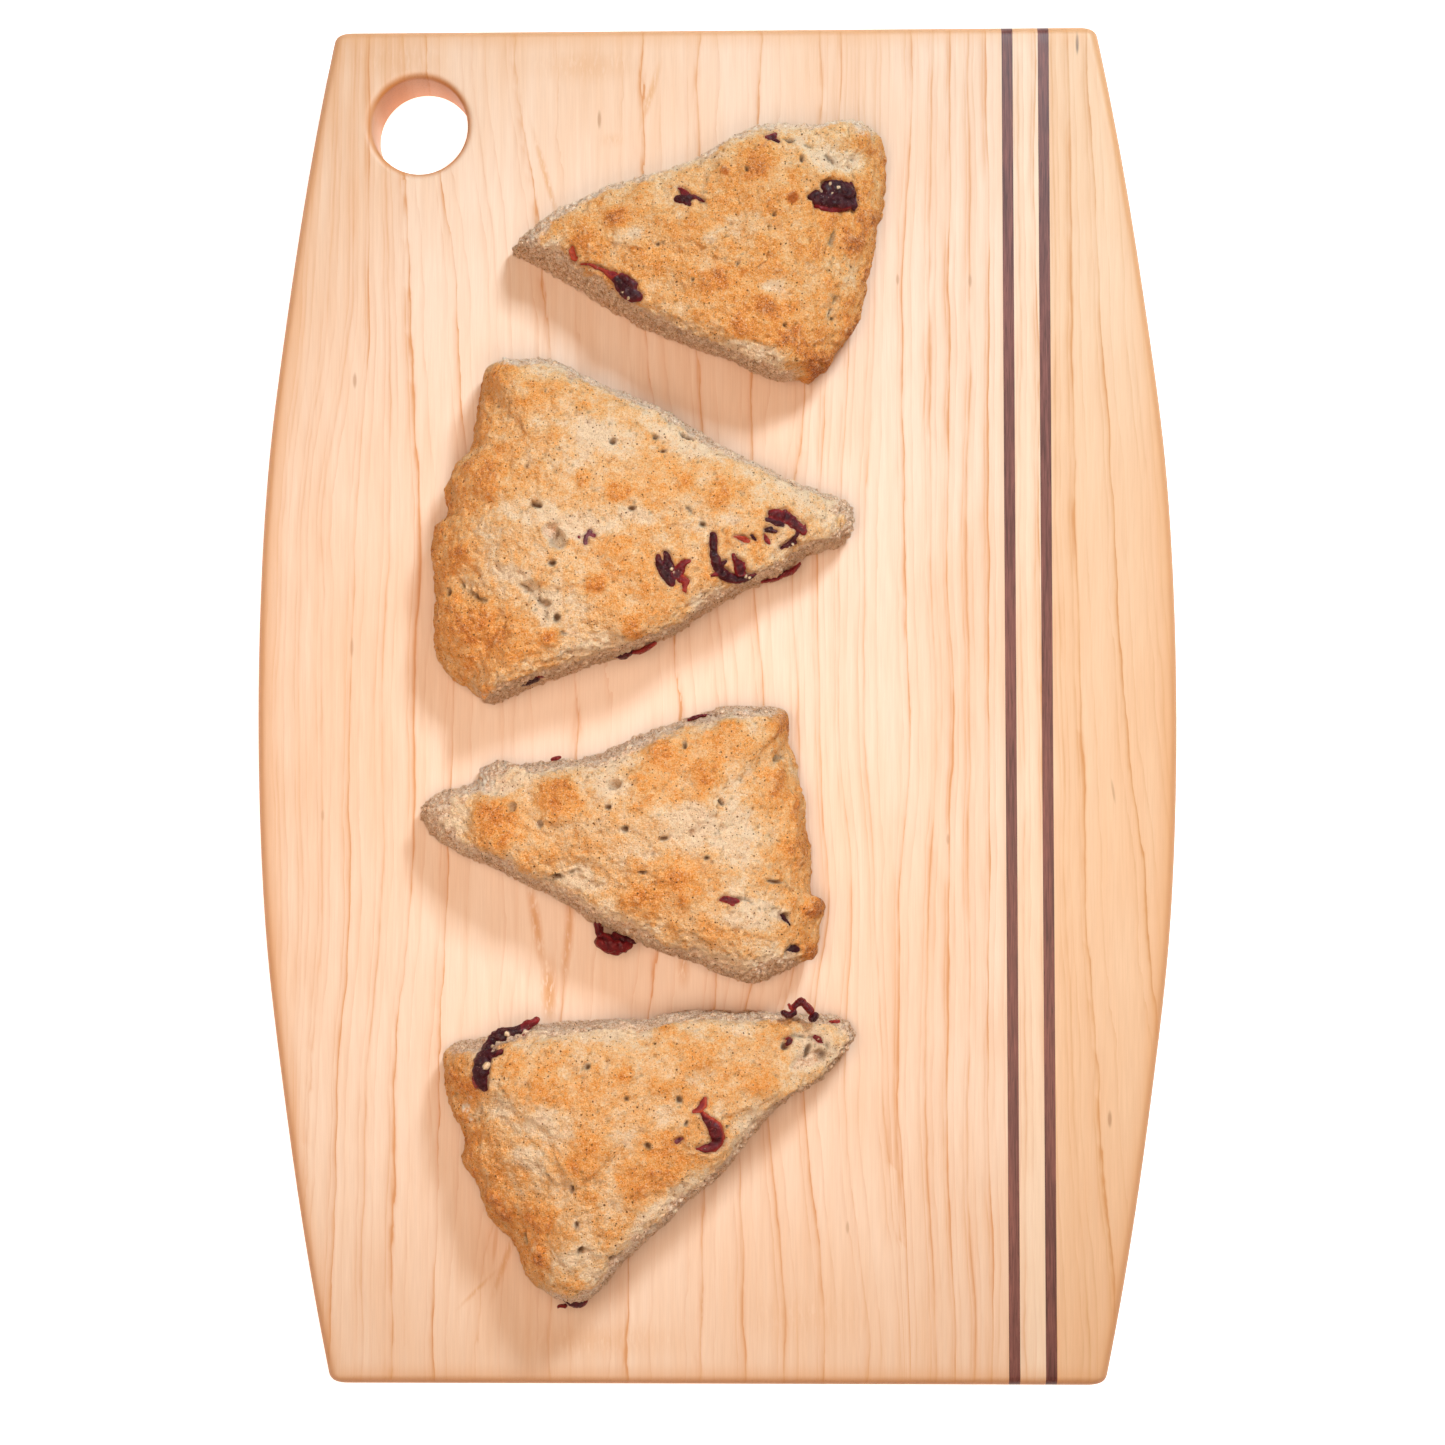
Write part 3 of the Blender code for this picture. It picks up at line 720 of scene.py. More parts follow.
def build_scone(name, spec, seed):
    s = scone_shape(spec)
    n = len(s.rim)
    levels = []
    for (dc, zc), (db, zb) in zip(CUT_SIDE, BAKED_SIDE):
        levels.append((dc * (1 - s.baked) + db * s.baked, zc * (1 - s.baked) + zb * s.baked))
    for share in (0.80, 0.90, 0.97):
        levels.append((np.full(n, s.inradius * share), np.full(n, 0.99 + 0.01 * share)))
    verts = []
    for k, (inset, up) in enumerate(levels):
        scale = 1 - np.clip(inset / s.inradius, 0, 0.99)
        xy = s.centre + (s.rim - s.centre) * scale[:, None]
        p3 = np.c_[xy, np.zeros(n)]
        _, _, crown = scone_place(s, p3)
        z = up * spec["height"] * crown
        co = np.c_[xy, TOP + 0.05 + z]
        away, lean = lean_of(s, xy)
        co[:, :2] += away * (lean * step(0.0, 0.85, np.minimum(up, 1.0)) * (1 - step(0.5, 0.9, inset / s.inradius)))[:, None]
        # broad lumps of dough
        out = (xy - s.centre) / np.linalg.norm(xy - s.centre, axis=1)[:, None]
        wall = (1 - step(0.75, 0.95, up)) * step(0.0, 0.12, up)
        lump = fbm(co + seed * 9.1, 13.0, 3, seed=seed) * (0.9 + 1.3 * s.baked) * wall
        co[:, :2] += out * lump[:, None]
        flat = np.c_[co[:, :2], np.zeros(n)]
        rise = 2.6 * fbm(flat + seed * 5.3, 30.0, 2, seed=seed + 3) + 1.5 * fbm(flat, 13.0, 2, seed=seed + 4)
        co[:, 2] += rise * step(0.35, 0.95, up)
        if k == 0:
            co[:, 2] = TOP + 0.05
        verts.append(co)
    top = np.r_[s.centre, TOP + spec["height"] + 0.05]
    flat = np.array([[s.centre[0], s.centre[1], 0.0]])
    top[2] += 2.6 * fbm(flat + seed * 5.3, 30.0, 2, seed=seed + 3)[0] + 1.5 * fbm(flat, 13.0, 2, seed=seed + 4)[0]
    faces = []
    for k in range(len(levels) - 1):
        for i in range(n):
            j = (i + 1) % n
            faces.append((k * n + i, k * n + j, (k + 1) * n + j, (k + 1) * n + i))
    last = (len(levels) - 1) * n
    tip = len(levels) * n
    for i in range(n):
        faces.append((last + i, last + (i + 1) % n, tip))
    faces.append(tuple(reversed(range(n))))
    obj = link(mesh_from(name, np.r_[np.concatenate(verts), [top]] * MM, faces), name)
    remesh(obj, 0.46)
    mesh = obj.data
    co = points_of(mesh) / MM
    no = normals_of(mesh)
    size = len(co)

    # -- where each point is
    inset, baked, crown = scone_place(s, co)
    above = co[:, 2] - TOP
    share = above / (spec["height"] * crown)
    inset = inset + lean_of(s, co[:, :2])[1] * step(0.0, 0.85, np.clip(share, 0, 1))
    facing = step(0.15, 0.55, no[:, 2])
    rag = fbm(co, 5.0, 3, seed=seed + 11)
    torn = (1 - baked) * (1 - step(0.9, 4.2, inset + 2.4 * rag)) + 0.0
    torn = np.maximum(torn, (1 - baked) * (1 - step(0.2, 0.6, no[:, 2])) * (1 - step(0.86, 0.98, share)))
    xy = co[:, :2] + np.c_[fbm(co, 4.0, 2, seed=seed + 21), fbm(co, 4.0, 2, seed=seed + 22)] * 0.9
    xy_far = co[:, :2] + np.c_[fbm(co, 9.0, 3, seed=seed + 23), fbm(co, 9.0, 3, seed=seed + 24)] * 3.0

    # -- paler torn patches on the crust, with their fibrous streaks
    pale = np.zeros(size)
    fibre = np.zeros(size)
    for k, (x, y, rx, ry, turn, weight) in enumerate(spec["pale"]):
        a = math.radians(turn)
        d = xy_far - (x, y)
        u = d[:, 0] * math.cos(a) + d[:, 1] * math.sin(a)
        v = -d[:, 0] * math.sin(a) + d[:, 1] * math.cos(a)
        m = weight * (1 - step(0.45, 1.3, np.hypot(u / rx, v / ry)))
        near_it = m > 0.02
        if near_it.any():
            q = np.c_[u * 0.30, v, np.zeros(size)][near_it]
            streak = fbm(q + 17.0 * k, 1.7, 3, gain=0.6, seed=seed + 60 + k)
            fibre[near_it] += m[near_it] * streak
        pale = np.maximum(pale, m)
    pale *= facing
    fibre *= facing
    # -- toasted bumps
    brown = np.zeros(size)
    rise = np.zeros(size)
    for x, y, r, height, tone in spec["bumps"]:
        d = np.linalg.norm(xy - (x, y), axis=1) / r
        rise += height * (1 - step(0.35, 1.15, d)) * 1.7
        df = np.linalg.norm(co[:, :2] * 0.35 + xy_far * 0.65 - (x, y), axis=1) / r
        brown = np.maximum(brown, tone * (1 - step(0.35, 1.25, df)))
    rise *= facing
    # -- holes and cracks, sunk into the surface and darkened with painted shade
    sink = np.zeros(size)
    dark = np.zeros(size)
    for x, y, rx, ry, turn in spec["holes"]:
        a = math.radians(turn)
        d = xy * 0.75 + co[:, :2] * 0.25 - (x, y)
        u = (d[:, 0] * math.cos(a) + d[:, 1] * math.sin(a)) / (rx + 0.1)
        v = (-d[:, 0] * math.sin(a) + d[:, 1] * math.cos(a)) / (ry + 0.1)
        m = (1 - step(0.45, 1.2, np.hypot(u, v))) * facing
        sink = np.maximum(sink, m * min(2.6, 0.9 + 1.1 * min(rx, ry)))
        dark = np.maximum(dark, m * (1.0 if min(rx, ry) < 1.0 else 0.5))
    for line in spec["cracks"]:
        d = to_line(xy, open_curve(line, 1.0))
        width = 0.5 + 0.35 * fbm(co, 5.0, 1, seed=seed + 31)
        m = np.exp(-(d / np.maximum(width, 0.2)) ** 2) * facing * step(-0.25, 0.15, fbm(co, 3.0, 2, seed=seed + 32))
        sink = np.maximum(sink, 1.4 * m)
        dark = np.maximum(dark, 0.75 * m)
        sink = np.maximum(sink, 0.5 * np.exp(-(d / 2.2) ** 2) * facing)
    for x, y, rx, ry, turn, depth in spec.get("pits", []):
        a = math.radians(turn)
        d = xy * 0.6 + co[:, :2] * 0.4 - (x, y)
        u = d[:, 0] * math.cos(a) + d[:, 1] * math.sin(a)
        v = -d[:, 0] * math.sin(a) + d[:, 1] * math.cos(a)
        rr = np.hypot(u / rx, v / ry)
        m = (1 - step(0.55, 1.05, rr)) * facing
        lean = 0.45 + 0.55 * np.clip(0.5 + 0.5 * u / rx, 0, 1)      # deeper at one end
        sink = np.maximum(sink, m * depth * lean)
        pale = np.maximum(pale, 1.1 * m)
        # painted shade at the deeper end of the pit
        dark = np.maximum(dark, m * 1.2 * step(0.25, 0.75, u / rx))

    # -- the berries' beds
    stain = np.zeros(size)
    for berry in spec["berries"]:
        marks = stroke_points(berry["strokes"])
        if berry["z"] is None:
            around = np.linalg.norm(co[:, :2] - marks[:, :2].mean(0), axis=1) < 18
            d = np.full(size, 9.0)
            d[around] = to_strokes(co[around, :2], marks) + 0.22 * fbm(co[around], 1.6, 2, seed=seed + 71)
            sink = np.maximum(sink, berry.get("deep", 0.75) * (1 - step(-0.30, 0.15, d)) * facing)
            rise += 0.30 * np.exp(-((d - 0.9) / 0.7) ** 2) * facing
            stain = np.maximum(stain, np.exp(-(np.maximum(d, 0) / 0.30) ** 2) * facing)
        else:
            flat_d = to_strokes(co[:, :2], marks)
            d = np.hypot(np.maximum(flat_d, 0), np.maximum(np.abs(above - berry["z"]) - 0.8, 0))
            stain = np.maximum(stain, 0.7 * np.exp(-(d / 0.5) ** 2))

    # -- surface: sandy crust on top, open clumps where it was torn
    lump = fbm(co, 7.5, 3, gain=0.55, seed=seed + 41)
    grit = fbm(co, 2.3, 3, gain=0.6, seed=seed + 42)
    sand = fbm(co, 1.0, 1, seed=seed + 43)
    crust = 1.45 * lump + 0.80 * grit + 0.24 * sand
    near, second, pick = worley(co, 2.6, seed + 44)
    pore = (1 - step(0.18, 0.62, near)) * (pick < 0.42)
    crust -= 0.55 * pore
    near2, second2, pick2 = worley(co, 1.7, seed + 46)
    clump = (second2 - near2) / 1.7
    grain = step(0.0, 0.5, clump) - 0.6
    open_crumb = 1.25 * fbm(co, 4.2, 3, gain=0.62, seed=seed + 45) + 0.62 * grain + 0.26 * sand
    near3, _, pick3 = worley(co, 3.6, seed + 47)
    cave = (1 - step(0.4, 1.4, near3)) * (pick3 < 0.5)
    open_crumb -= 1.15 * cave
    fine = crust * (1 - torn) + open_crumb * torn
    move = fine + rise - sink - 0.30 * pale + 1.10 * fibre
    move *= step(0.0, 1.2, above)                       # the base stays flat on the board
    co2 = co + no * move[:, None]
    low = co2[:, 2] < TOP + 0.02
    co2[low, 2] = TOP + 0.02
    set_points(mesh, co2 * MM)

    # -- colour fields
    broad = fbm(co, 22.0, 3, seed=seed + 51)
    patch = fbm(co, 4.5, 3, gain=0.62, seed=seed + 52)
    tone = 0.36 + 0.30 * broad + 0.34 * lump + 0.26 * patch
    tone = tone + (1 - np.clip(tone, 0, 1)) * brown * 1.30 - 0.80 * pale
    tone += 0.24 * baked * (1 - step(2.0, 14.0, inset))
    tone -= 0.20 * (1 - baked) * (1 - step(2.0, 8.0, inset))
    tone -= 0.35 * np.clip(sink, 0, 1)
    tone += spec.get("tone", 0.0)
    # high on the tops of grains and clumps, low in their hollows: it sets the painted light and shade of the surface
    relief = 0.5 + 0.55 * (0.8 * grit + 0.5 * sand) * (1 - torn) + 0.45 * (grain + 0.6 * sand) * torn + 0.5 * fibre
    zest = np.zeros(size)
    for x, y, r in spec.get("zest", []):
        zest = np.maximum(zest, 1 - step(0.55, 1.1, np.linalg.norm(xy - (x, y), axis=1) / r))
    # broken crumbs, nearly white, along the top edge of every cut side
    edge_run = (1 - baked) * step(-1.2, 0.3, inset) * (1 - step(0.6, 3.4, inset + 1.6 * rag))
    speck = step(-0.10, 0.16, fbm(co, 1.5, 2, gain=0.7, seed=seed + 82))
    flour = 0.75 * edge_run * speck * step(0.45, 0.8, share)
    for x, y, r in spec.get("flour", []):
        d = np.linalg.norm(xy_far * 0.5 + co[:, :2] * 0.5 - (x, y), axis=1) / r
        flour = np.maximum(flour, (1 - step(0.4, 1.1, d)) * step(-0.2, 0.2, fbm(co, 1.6, 2, seed=seed + 81)))
    paint(mesh, "tone", np.clip(tone, 0, 1))
    paint(mesh, "torn", np.clip(np.maximum(torn, 0.60 * pale), 0, 1))
    # dark: painted shade in the holes, cracks, pits, crust pores and crumb hollows
    paint(mesh, "dark", np.clip(np.maximum.reduce([dark, 0.60 * pore * (1 - torn), 0.60 * cave * torn]), 0, 1))
    paint(mesh, "stain", np.clip(stain, 0, 1))
    paint(mesh, "relief", np.clip(relief, 0, 1))
    paint(mesh, "zest", np.clip(zest, 0, 1))
    paint(mesh, "flour", np.clip(flour, 0, 1))
    mesh.shade_smooth()
    s.obj = obj
    s.tree = BVHTree.FromObject(obj, bpy.context.evaluated_depsgraph_get())
    return s


def crumb_material():
    n = Nodes("baked_crumb")
    mm = n.mm()
    tone, torn, dark, stain, relief, zest, flour = (
        n.attr(a) for a in ("tone", "torn", "dark", "stain", "relief", "zest", "flour"))
    grain = n.noise(mm, 1.0, 3.0, 0.6)
    fine = n.noise(mm, 2.3, 2.0, 0.6)
    patch = n.noise(mm, 0.33, 3.0, 0.62)
    t = n.plus(tone, n.span(grain, 0.28, 0.72, -0.14, 0.14, smooth=False))
    t = n.plus(t, n.span(patch, 0.3, 0.7, -0.17, 0.17, smooth=False))
    t = n.plus(t, n.span(fine, 0.3, 0.7, -0.12, 0.12, smooth=False))
    ramp = n.add("ShaderNodeValToRGB", Fac=t)
    cr = ramp.color_ramp
    stops = [(0.0, (0.900, 0.690, 0.490)), (0.22, (0.885, 0.575, 0.315)), (0.42, (0.865, 0.455, 0.175)),
             (0.64, (0.870, 0.360, 0.082)), (0.84, (0.720, 0.235, 0.044)), (1.0, (0.450, 0.125, 0.028))]
    while len(cr.elements) < len(stops):
        cr.elements.new(0.5)
    for e, (p, c) in zip(cr.elements, stops):
        e.position = p
        e.color = (*c, 1.0)
    crust = ramp.outputs[0]
    # pale grains of flour
    light = n.span(n.noise(mm, 1.7, 2.0, 0.65), 0.58, 0.67, 0.0, 0.5)
    crust = n.mix(light, crust, (0.88, 0.68, 0.46))
    crumb_t = n.span(n.noise(mm, 0.55, 3.0, 0.65), 0.32, 0.68, 0.0, 1.0)
    crumb = n.mix(crumb_t, (0.770, 0.445, 0.260), (0.940, 0.665, 0.475))
    # paler and darker spots in the crumb: partly its own mottling, partly painted highlights on its grains and painted
    # shade in its cavities
    crumb = n.mix(n.span(fine, 0.50, 0.62, 0.0, 0.80), crumb, (0.970, 0.810, 0.660))
    crumb = n.mix(n.span(fine, 0.46, 0.36, 0.0, 0.60), crumb, (0.450, 0.200, 0.092))
    edge = n.plus(torn, n.span(grain, 0.3, 0.7, -0.24, 0.24, smooth=False))
    colour = n.mix(n.span(edge, 0.3, 0.7), crust, crumb)
    # painted shade: hollows between the grains are darker and redder; painted light: their tops paler
    colour = n.mix(n.span(relief, 0.44, 0.08, 0.0, 0.66), colour, (0.380, 0.150, 0.050))
    colour = n.mix(n.span(relief, 0.54, 0.90, 0.0, 0.50), colour, (0.900, 0.670, 0.430))
    # sandy surface: every grain a little lighter or darker than the next, partly the crust's own tone and partly
    # painted light and shade of its fine relief
    sandy = n.noise(mm, 2.9, 2.0, 0.7)
    colour = n.mix(n.span(sandy, 0.48, 0.32, 0.0, 0.60), colour, (0.58, 0.38, 0.25), "MULTIPLY")
    colour = n.mix(n.span(sandy, 0.53, 0.68, 0.0, 0.36), colour, (1.000, 0.760, 0.470))
    # bran: small brown flecks of two sizes
    for scale, cut, keep, shade, strength in ((0.72, 0.22, 0.60, (0.170, 0.060, 0.020), 0.95),
                                              (1.30, 0.27, 0.50, (0.230, 0.080, 0.022), 0.95)):
        vor = n.add("ShaderNodeTexVoronoi", Vector=n.mm((1, 1, 1), (scale * 7, 0, 0)), Scale=scale, Randomness=1.0)
        col = n.add("ShaderNodeSeparateColor", Color=vor.outputs["Color"])
        size = n.mul(n.span(col.outputs[0], 1 - keep, 1.0, 0.0, 1.0, smooth=False), cut)
        ragged = n.plus(vor.outputs["Distance"], n.span(fine, 0.3, 0.7, -0.07, 0.07, smooth=False))
        spot = n.math("MULTIPLY", n.span(n.math("SUBTRACT", size, ragged), -0.02, 0.05), strength, clamp=True)
        colour = n.mix(spot, colour, shade)
    colour = n.mix(n.mul(zest, 0.85), colour, (0.520, 0.130, 0.022))
    colour = n.mix(n.mul(flour, 0.8), colour, (0.940, 0.850, 0.740))
    # painted shade in the holes, cracks, pits and pores
    colour = n.mix(n.mul(dark, 0.88), colour, (0.105, 0.038, 0.014))
    colour = n.mix(n.mul(stain, 0.40), colour, (0.250, 0.060, 0.040))
    height = n.plus(n.mul(n.noise(mm, 1.5, 3.0, 0.68), 0.7), n.mul(n.noise(mm, 4.0, 2.0, 0.6), 0.3))
    rough = n.span(torn, 0.0, 1.0, 0.60, 0.80, smooth=False)
    normal = n.bump(height, 1.0, 1.25)
    return n.finish(Base__Color=colour, Roughness=rough, Normal=normal, Specular__IOR__Level=0.18,
                    Subsurface__Weight=0.08, Subsurface__Scale=0.0010, Subsurface__Radius=(1.0, 0.6, 0.35))


def berry_material():
    n = Nodes("dried_cranberry")
    mm = n.mm()
    a = n.noise(mm, 0.55, 3.0, 0.6)
    bright = n.plus(n.attr("bright"), n.span(a, 0.3, 0.7, -0.10, 0.10, smooth=False))
    ramp = n.add("ShaderNodeValToRGB", Fac=bright)
    cr = ramp.color_ramp
    stops = [(0.0, (0.022, 0.0025, 0.006)), (0.28, (0.060, 0.005, 0.010)), (0.60, (0.210, 0.011, 0.015)),
             (1.0, (0.440, 0.060, 0.024))]
    while len(cr.elements) < len(stops):
        cr.elements.new(0.5)
    for e, (p, c) in zip(cr.elements, stops):
        e.position = p
        e.color = (*c, 1.0)
    colour = ramp.outputs[0]
    colour = n.mix(n.mul(n.attr("bloom"), n.span(n.noise(mm, 1.1, 2.0, 0.6), 0.3, 0.6)), colour, (0.26, 0.085, 0.11))
    sugar = n.span(n.noise(mm, 2.1, 2.0, 0.6), 0.66, 0.72, 0.0, 0.65)
    colour = n.mix(sugar, colour, (0.42, 0.24, 0.20))
    bits = n.attr("bits")
    crumb = n.mix(n.span(n.noise(mm, 1.6, 2.0, 0.6), 0.35, 0.6), (0.50, 0.30, 0.15), (0.76, 0.60, 0.42))
    colour = n.mix(bits, colour, crumb)
    wrinkle = n.plus(n.mul(n.noise(mm, 1.1, 3.0, 0.6, 0.8), 0.7), n.mul(n.noise(mm, 3.2, 2.0, 0.5), 0.3))
    rough = n.plus(n.span(a, 0.3, 0.7, 0.24, 0.42, smooth=False), n.mul(bits, 0.45))
    return n.finish(Base__Color=colour, Roughness=rough,
                    Normal=n.bump(wrinkle, 0.8, 0.7), Coat__Weight=0.06, Coat__Roughness=0.12,
                    Specular__IOR__Level=0.22, Subsurface__Weight=0.06, Subsurface__Scale=0.0015,
                    Subsurface__Radius=(1.0, 0.12, 0.08))


def build_berry(name, berry, scone, seed):
    """A dried cranberry: torn, flattened and wrinkled, lying in the crust or in a side."""
    marks = stroke_points(berry["strokes"])
    biggest = marks[:, 2].max()
    tall = berry.get("tall", 1.0)

    def crust(x, y):
        hit = scone.tree.ray_cast(Vector((x * MM, y * MM, 0.2)), Vector((0, 0, -1)))
        return hit[0].z / MM if hit[0] is not None else TOP

    if berry["z"] is None:
        depth = float(np.clip(0.58 * biggest, 0.45, 1.35)) * tall
        z = np.array([max(crust(x, y), crust(x + 0.3, y), crust(x, y + 0.3)) for x, y, _, _ in marks])
        z = np.maximum(z, np.median(z) - 1.6)
        gap = np.hypot(marks[:, None, 0] - marks[None, :, 0], marks[:, None, 1] - marks[None, :, 1])
        near = np.exp(-(gap / 1.1) ** 2)
        z = (near @ z) / near.sum(1) + 0.22 * depth
    else:
        depth = berry.get("hv", 1.6)
        z = np.full(len(marks), TOP + 0.3 + berry["z"])
        away, lean = lean_of(scone, marks[:, :2])
        marks = marks.copy()
        marks[:, :2] += berry.get("nudge", (0.0, 0.0))
        if berry.get("stay"):
            lean = 0.0 * lean
        marks[:, :2] += away * (0.80 * lean * step(0.0, 0.85, np.array(min(1.0, berry["z"] / scone.spec["height"]))))[:, None]
    if berry.get("flat"):
        depth *= 0.6
    lat = np.radians(np.linspace(-90, 90, 9))
    lon = np.radians(np.arange(0, 360, 24))
    ball, faces = [(0, 0, -1)], []
    for a in lat[1:-1]:
        ball += [(math.cos(a) * math.cos(b), math.cos(a) * math.sin(b), math.sin(a)) for b in lon]
    ball.append((0, 0, 1))
    ball = np.array(ball)
    m = len(lon)
    for i in range(m):
        j = (i + 1) % m
        faces.append((0, 1 + j, 1 + i))
        faces.append((len(ball) - 1, 1 + 6 * m + i, 1 + 6 * m + j))
        for k in range(6):
            faces.append((1 + k * m + i, 1 + k * m + j, 1 + (k + 1) * m + j, 1 + (k + 1) * m + i))
    verts, polys = [], []
    for (x, y, r, _), h in zip(marks, z):
        high = depth * (0.35 + 0.65 * r / biggest)
        base = len(verts) * len(ball)
        verts.append(ball * [r, r, high] + [x, y, h])
        polys += [tuple(base + v for v in f) for f in faces]
    obj = link(mesh_from(name, np.concatenate(verts) * MM, polys), name)
    remesh(obj, 0.22 if biggest > 1.4 else 0.17)
    co = points_of(obj.data) / MM
    no = normals_of(obj.data)
    d = to_strokes(co[:, :2], marks)
    fold = berry.get("fold", 0.30)
    big = float(np.clip(biggest / 1.6, 0.45, 1.5))
    folds = 1 - np.abs(fbm(co + seed * 3.3, 2.4 * big, 2, seed=seed)) * 2.4
    small = 1 - np.abs(fbm(co, 1.1, 2, seed=seed + 3)) * 2.4
    shape = fbm(co, 3.2, 2, seed=seed + 5)
    move = (0.45 * shape + fold * (np.clip(folds, -0.4, 1) - 0.5)) * big + 0.10 * (small - 0.5)
    bits = np.zeros(len(co))
    for x, y, r in berry.get("crumbs", []):
        wob = np.linalg.norm(co[:, :2] - (x, y), axis=1) / r + 0.5 * fbm(co, 1.0, 2, seed=seed + 9)
        bits = np.maximum(bits, (1 - step(0.75, 1.05, wob)) * (no[:, 2] > 0.1))
    move += 0.30 * bits
    set_points(obj.data, (co + no * move[:, None]) * MM)
    near = np.argmin(np.hypot(co[:, None, 0] - marks[None, :, 0], co[:, None, 1] - marks[None, :, 1])
                     - marks[None, :, 2], axis=1) if len(co) * len(marks) < 4e7 else np.zeros(len(co), int)
    side = berry.get("rimside", 0)
    rim = berry.get("rim", 0.2) * step(-0.95 * big, -0.1, d)
    if side:
        centre = marks[:, :2].mean(0)
        rim = rim * step(-0.6, 0.6, co[:, 0] - marks[near, 0])
    # the fold term is painted light on the ridges of the folds and painted shade in their creases
    bright = marks[near, 3] + rim + 0.18 * (np.clip(folds, 0, 1) - 0.6) * berry.get("ridge", 1.0)
    paint(obj.data, "bright", np.clip(bright, 0, 1))
    paint(obj.data, "bits", np.clip(bits, 0, 1))
    paint(obj.data, "bloom", np.full(len(co), berry.get("bloom", 0.0)))
    obj.data.shade_smooth()
    return obj


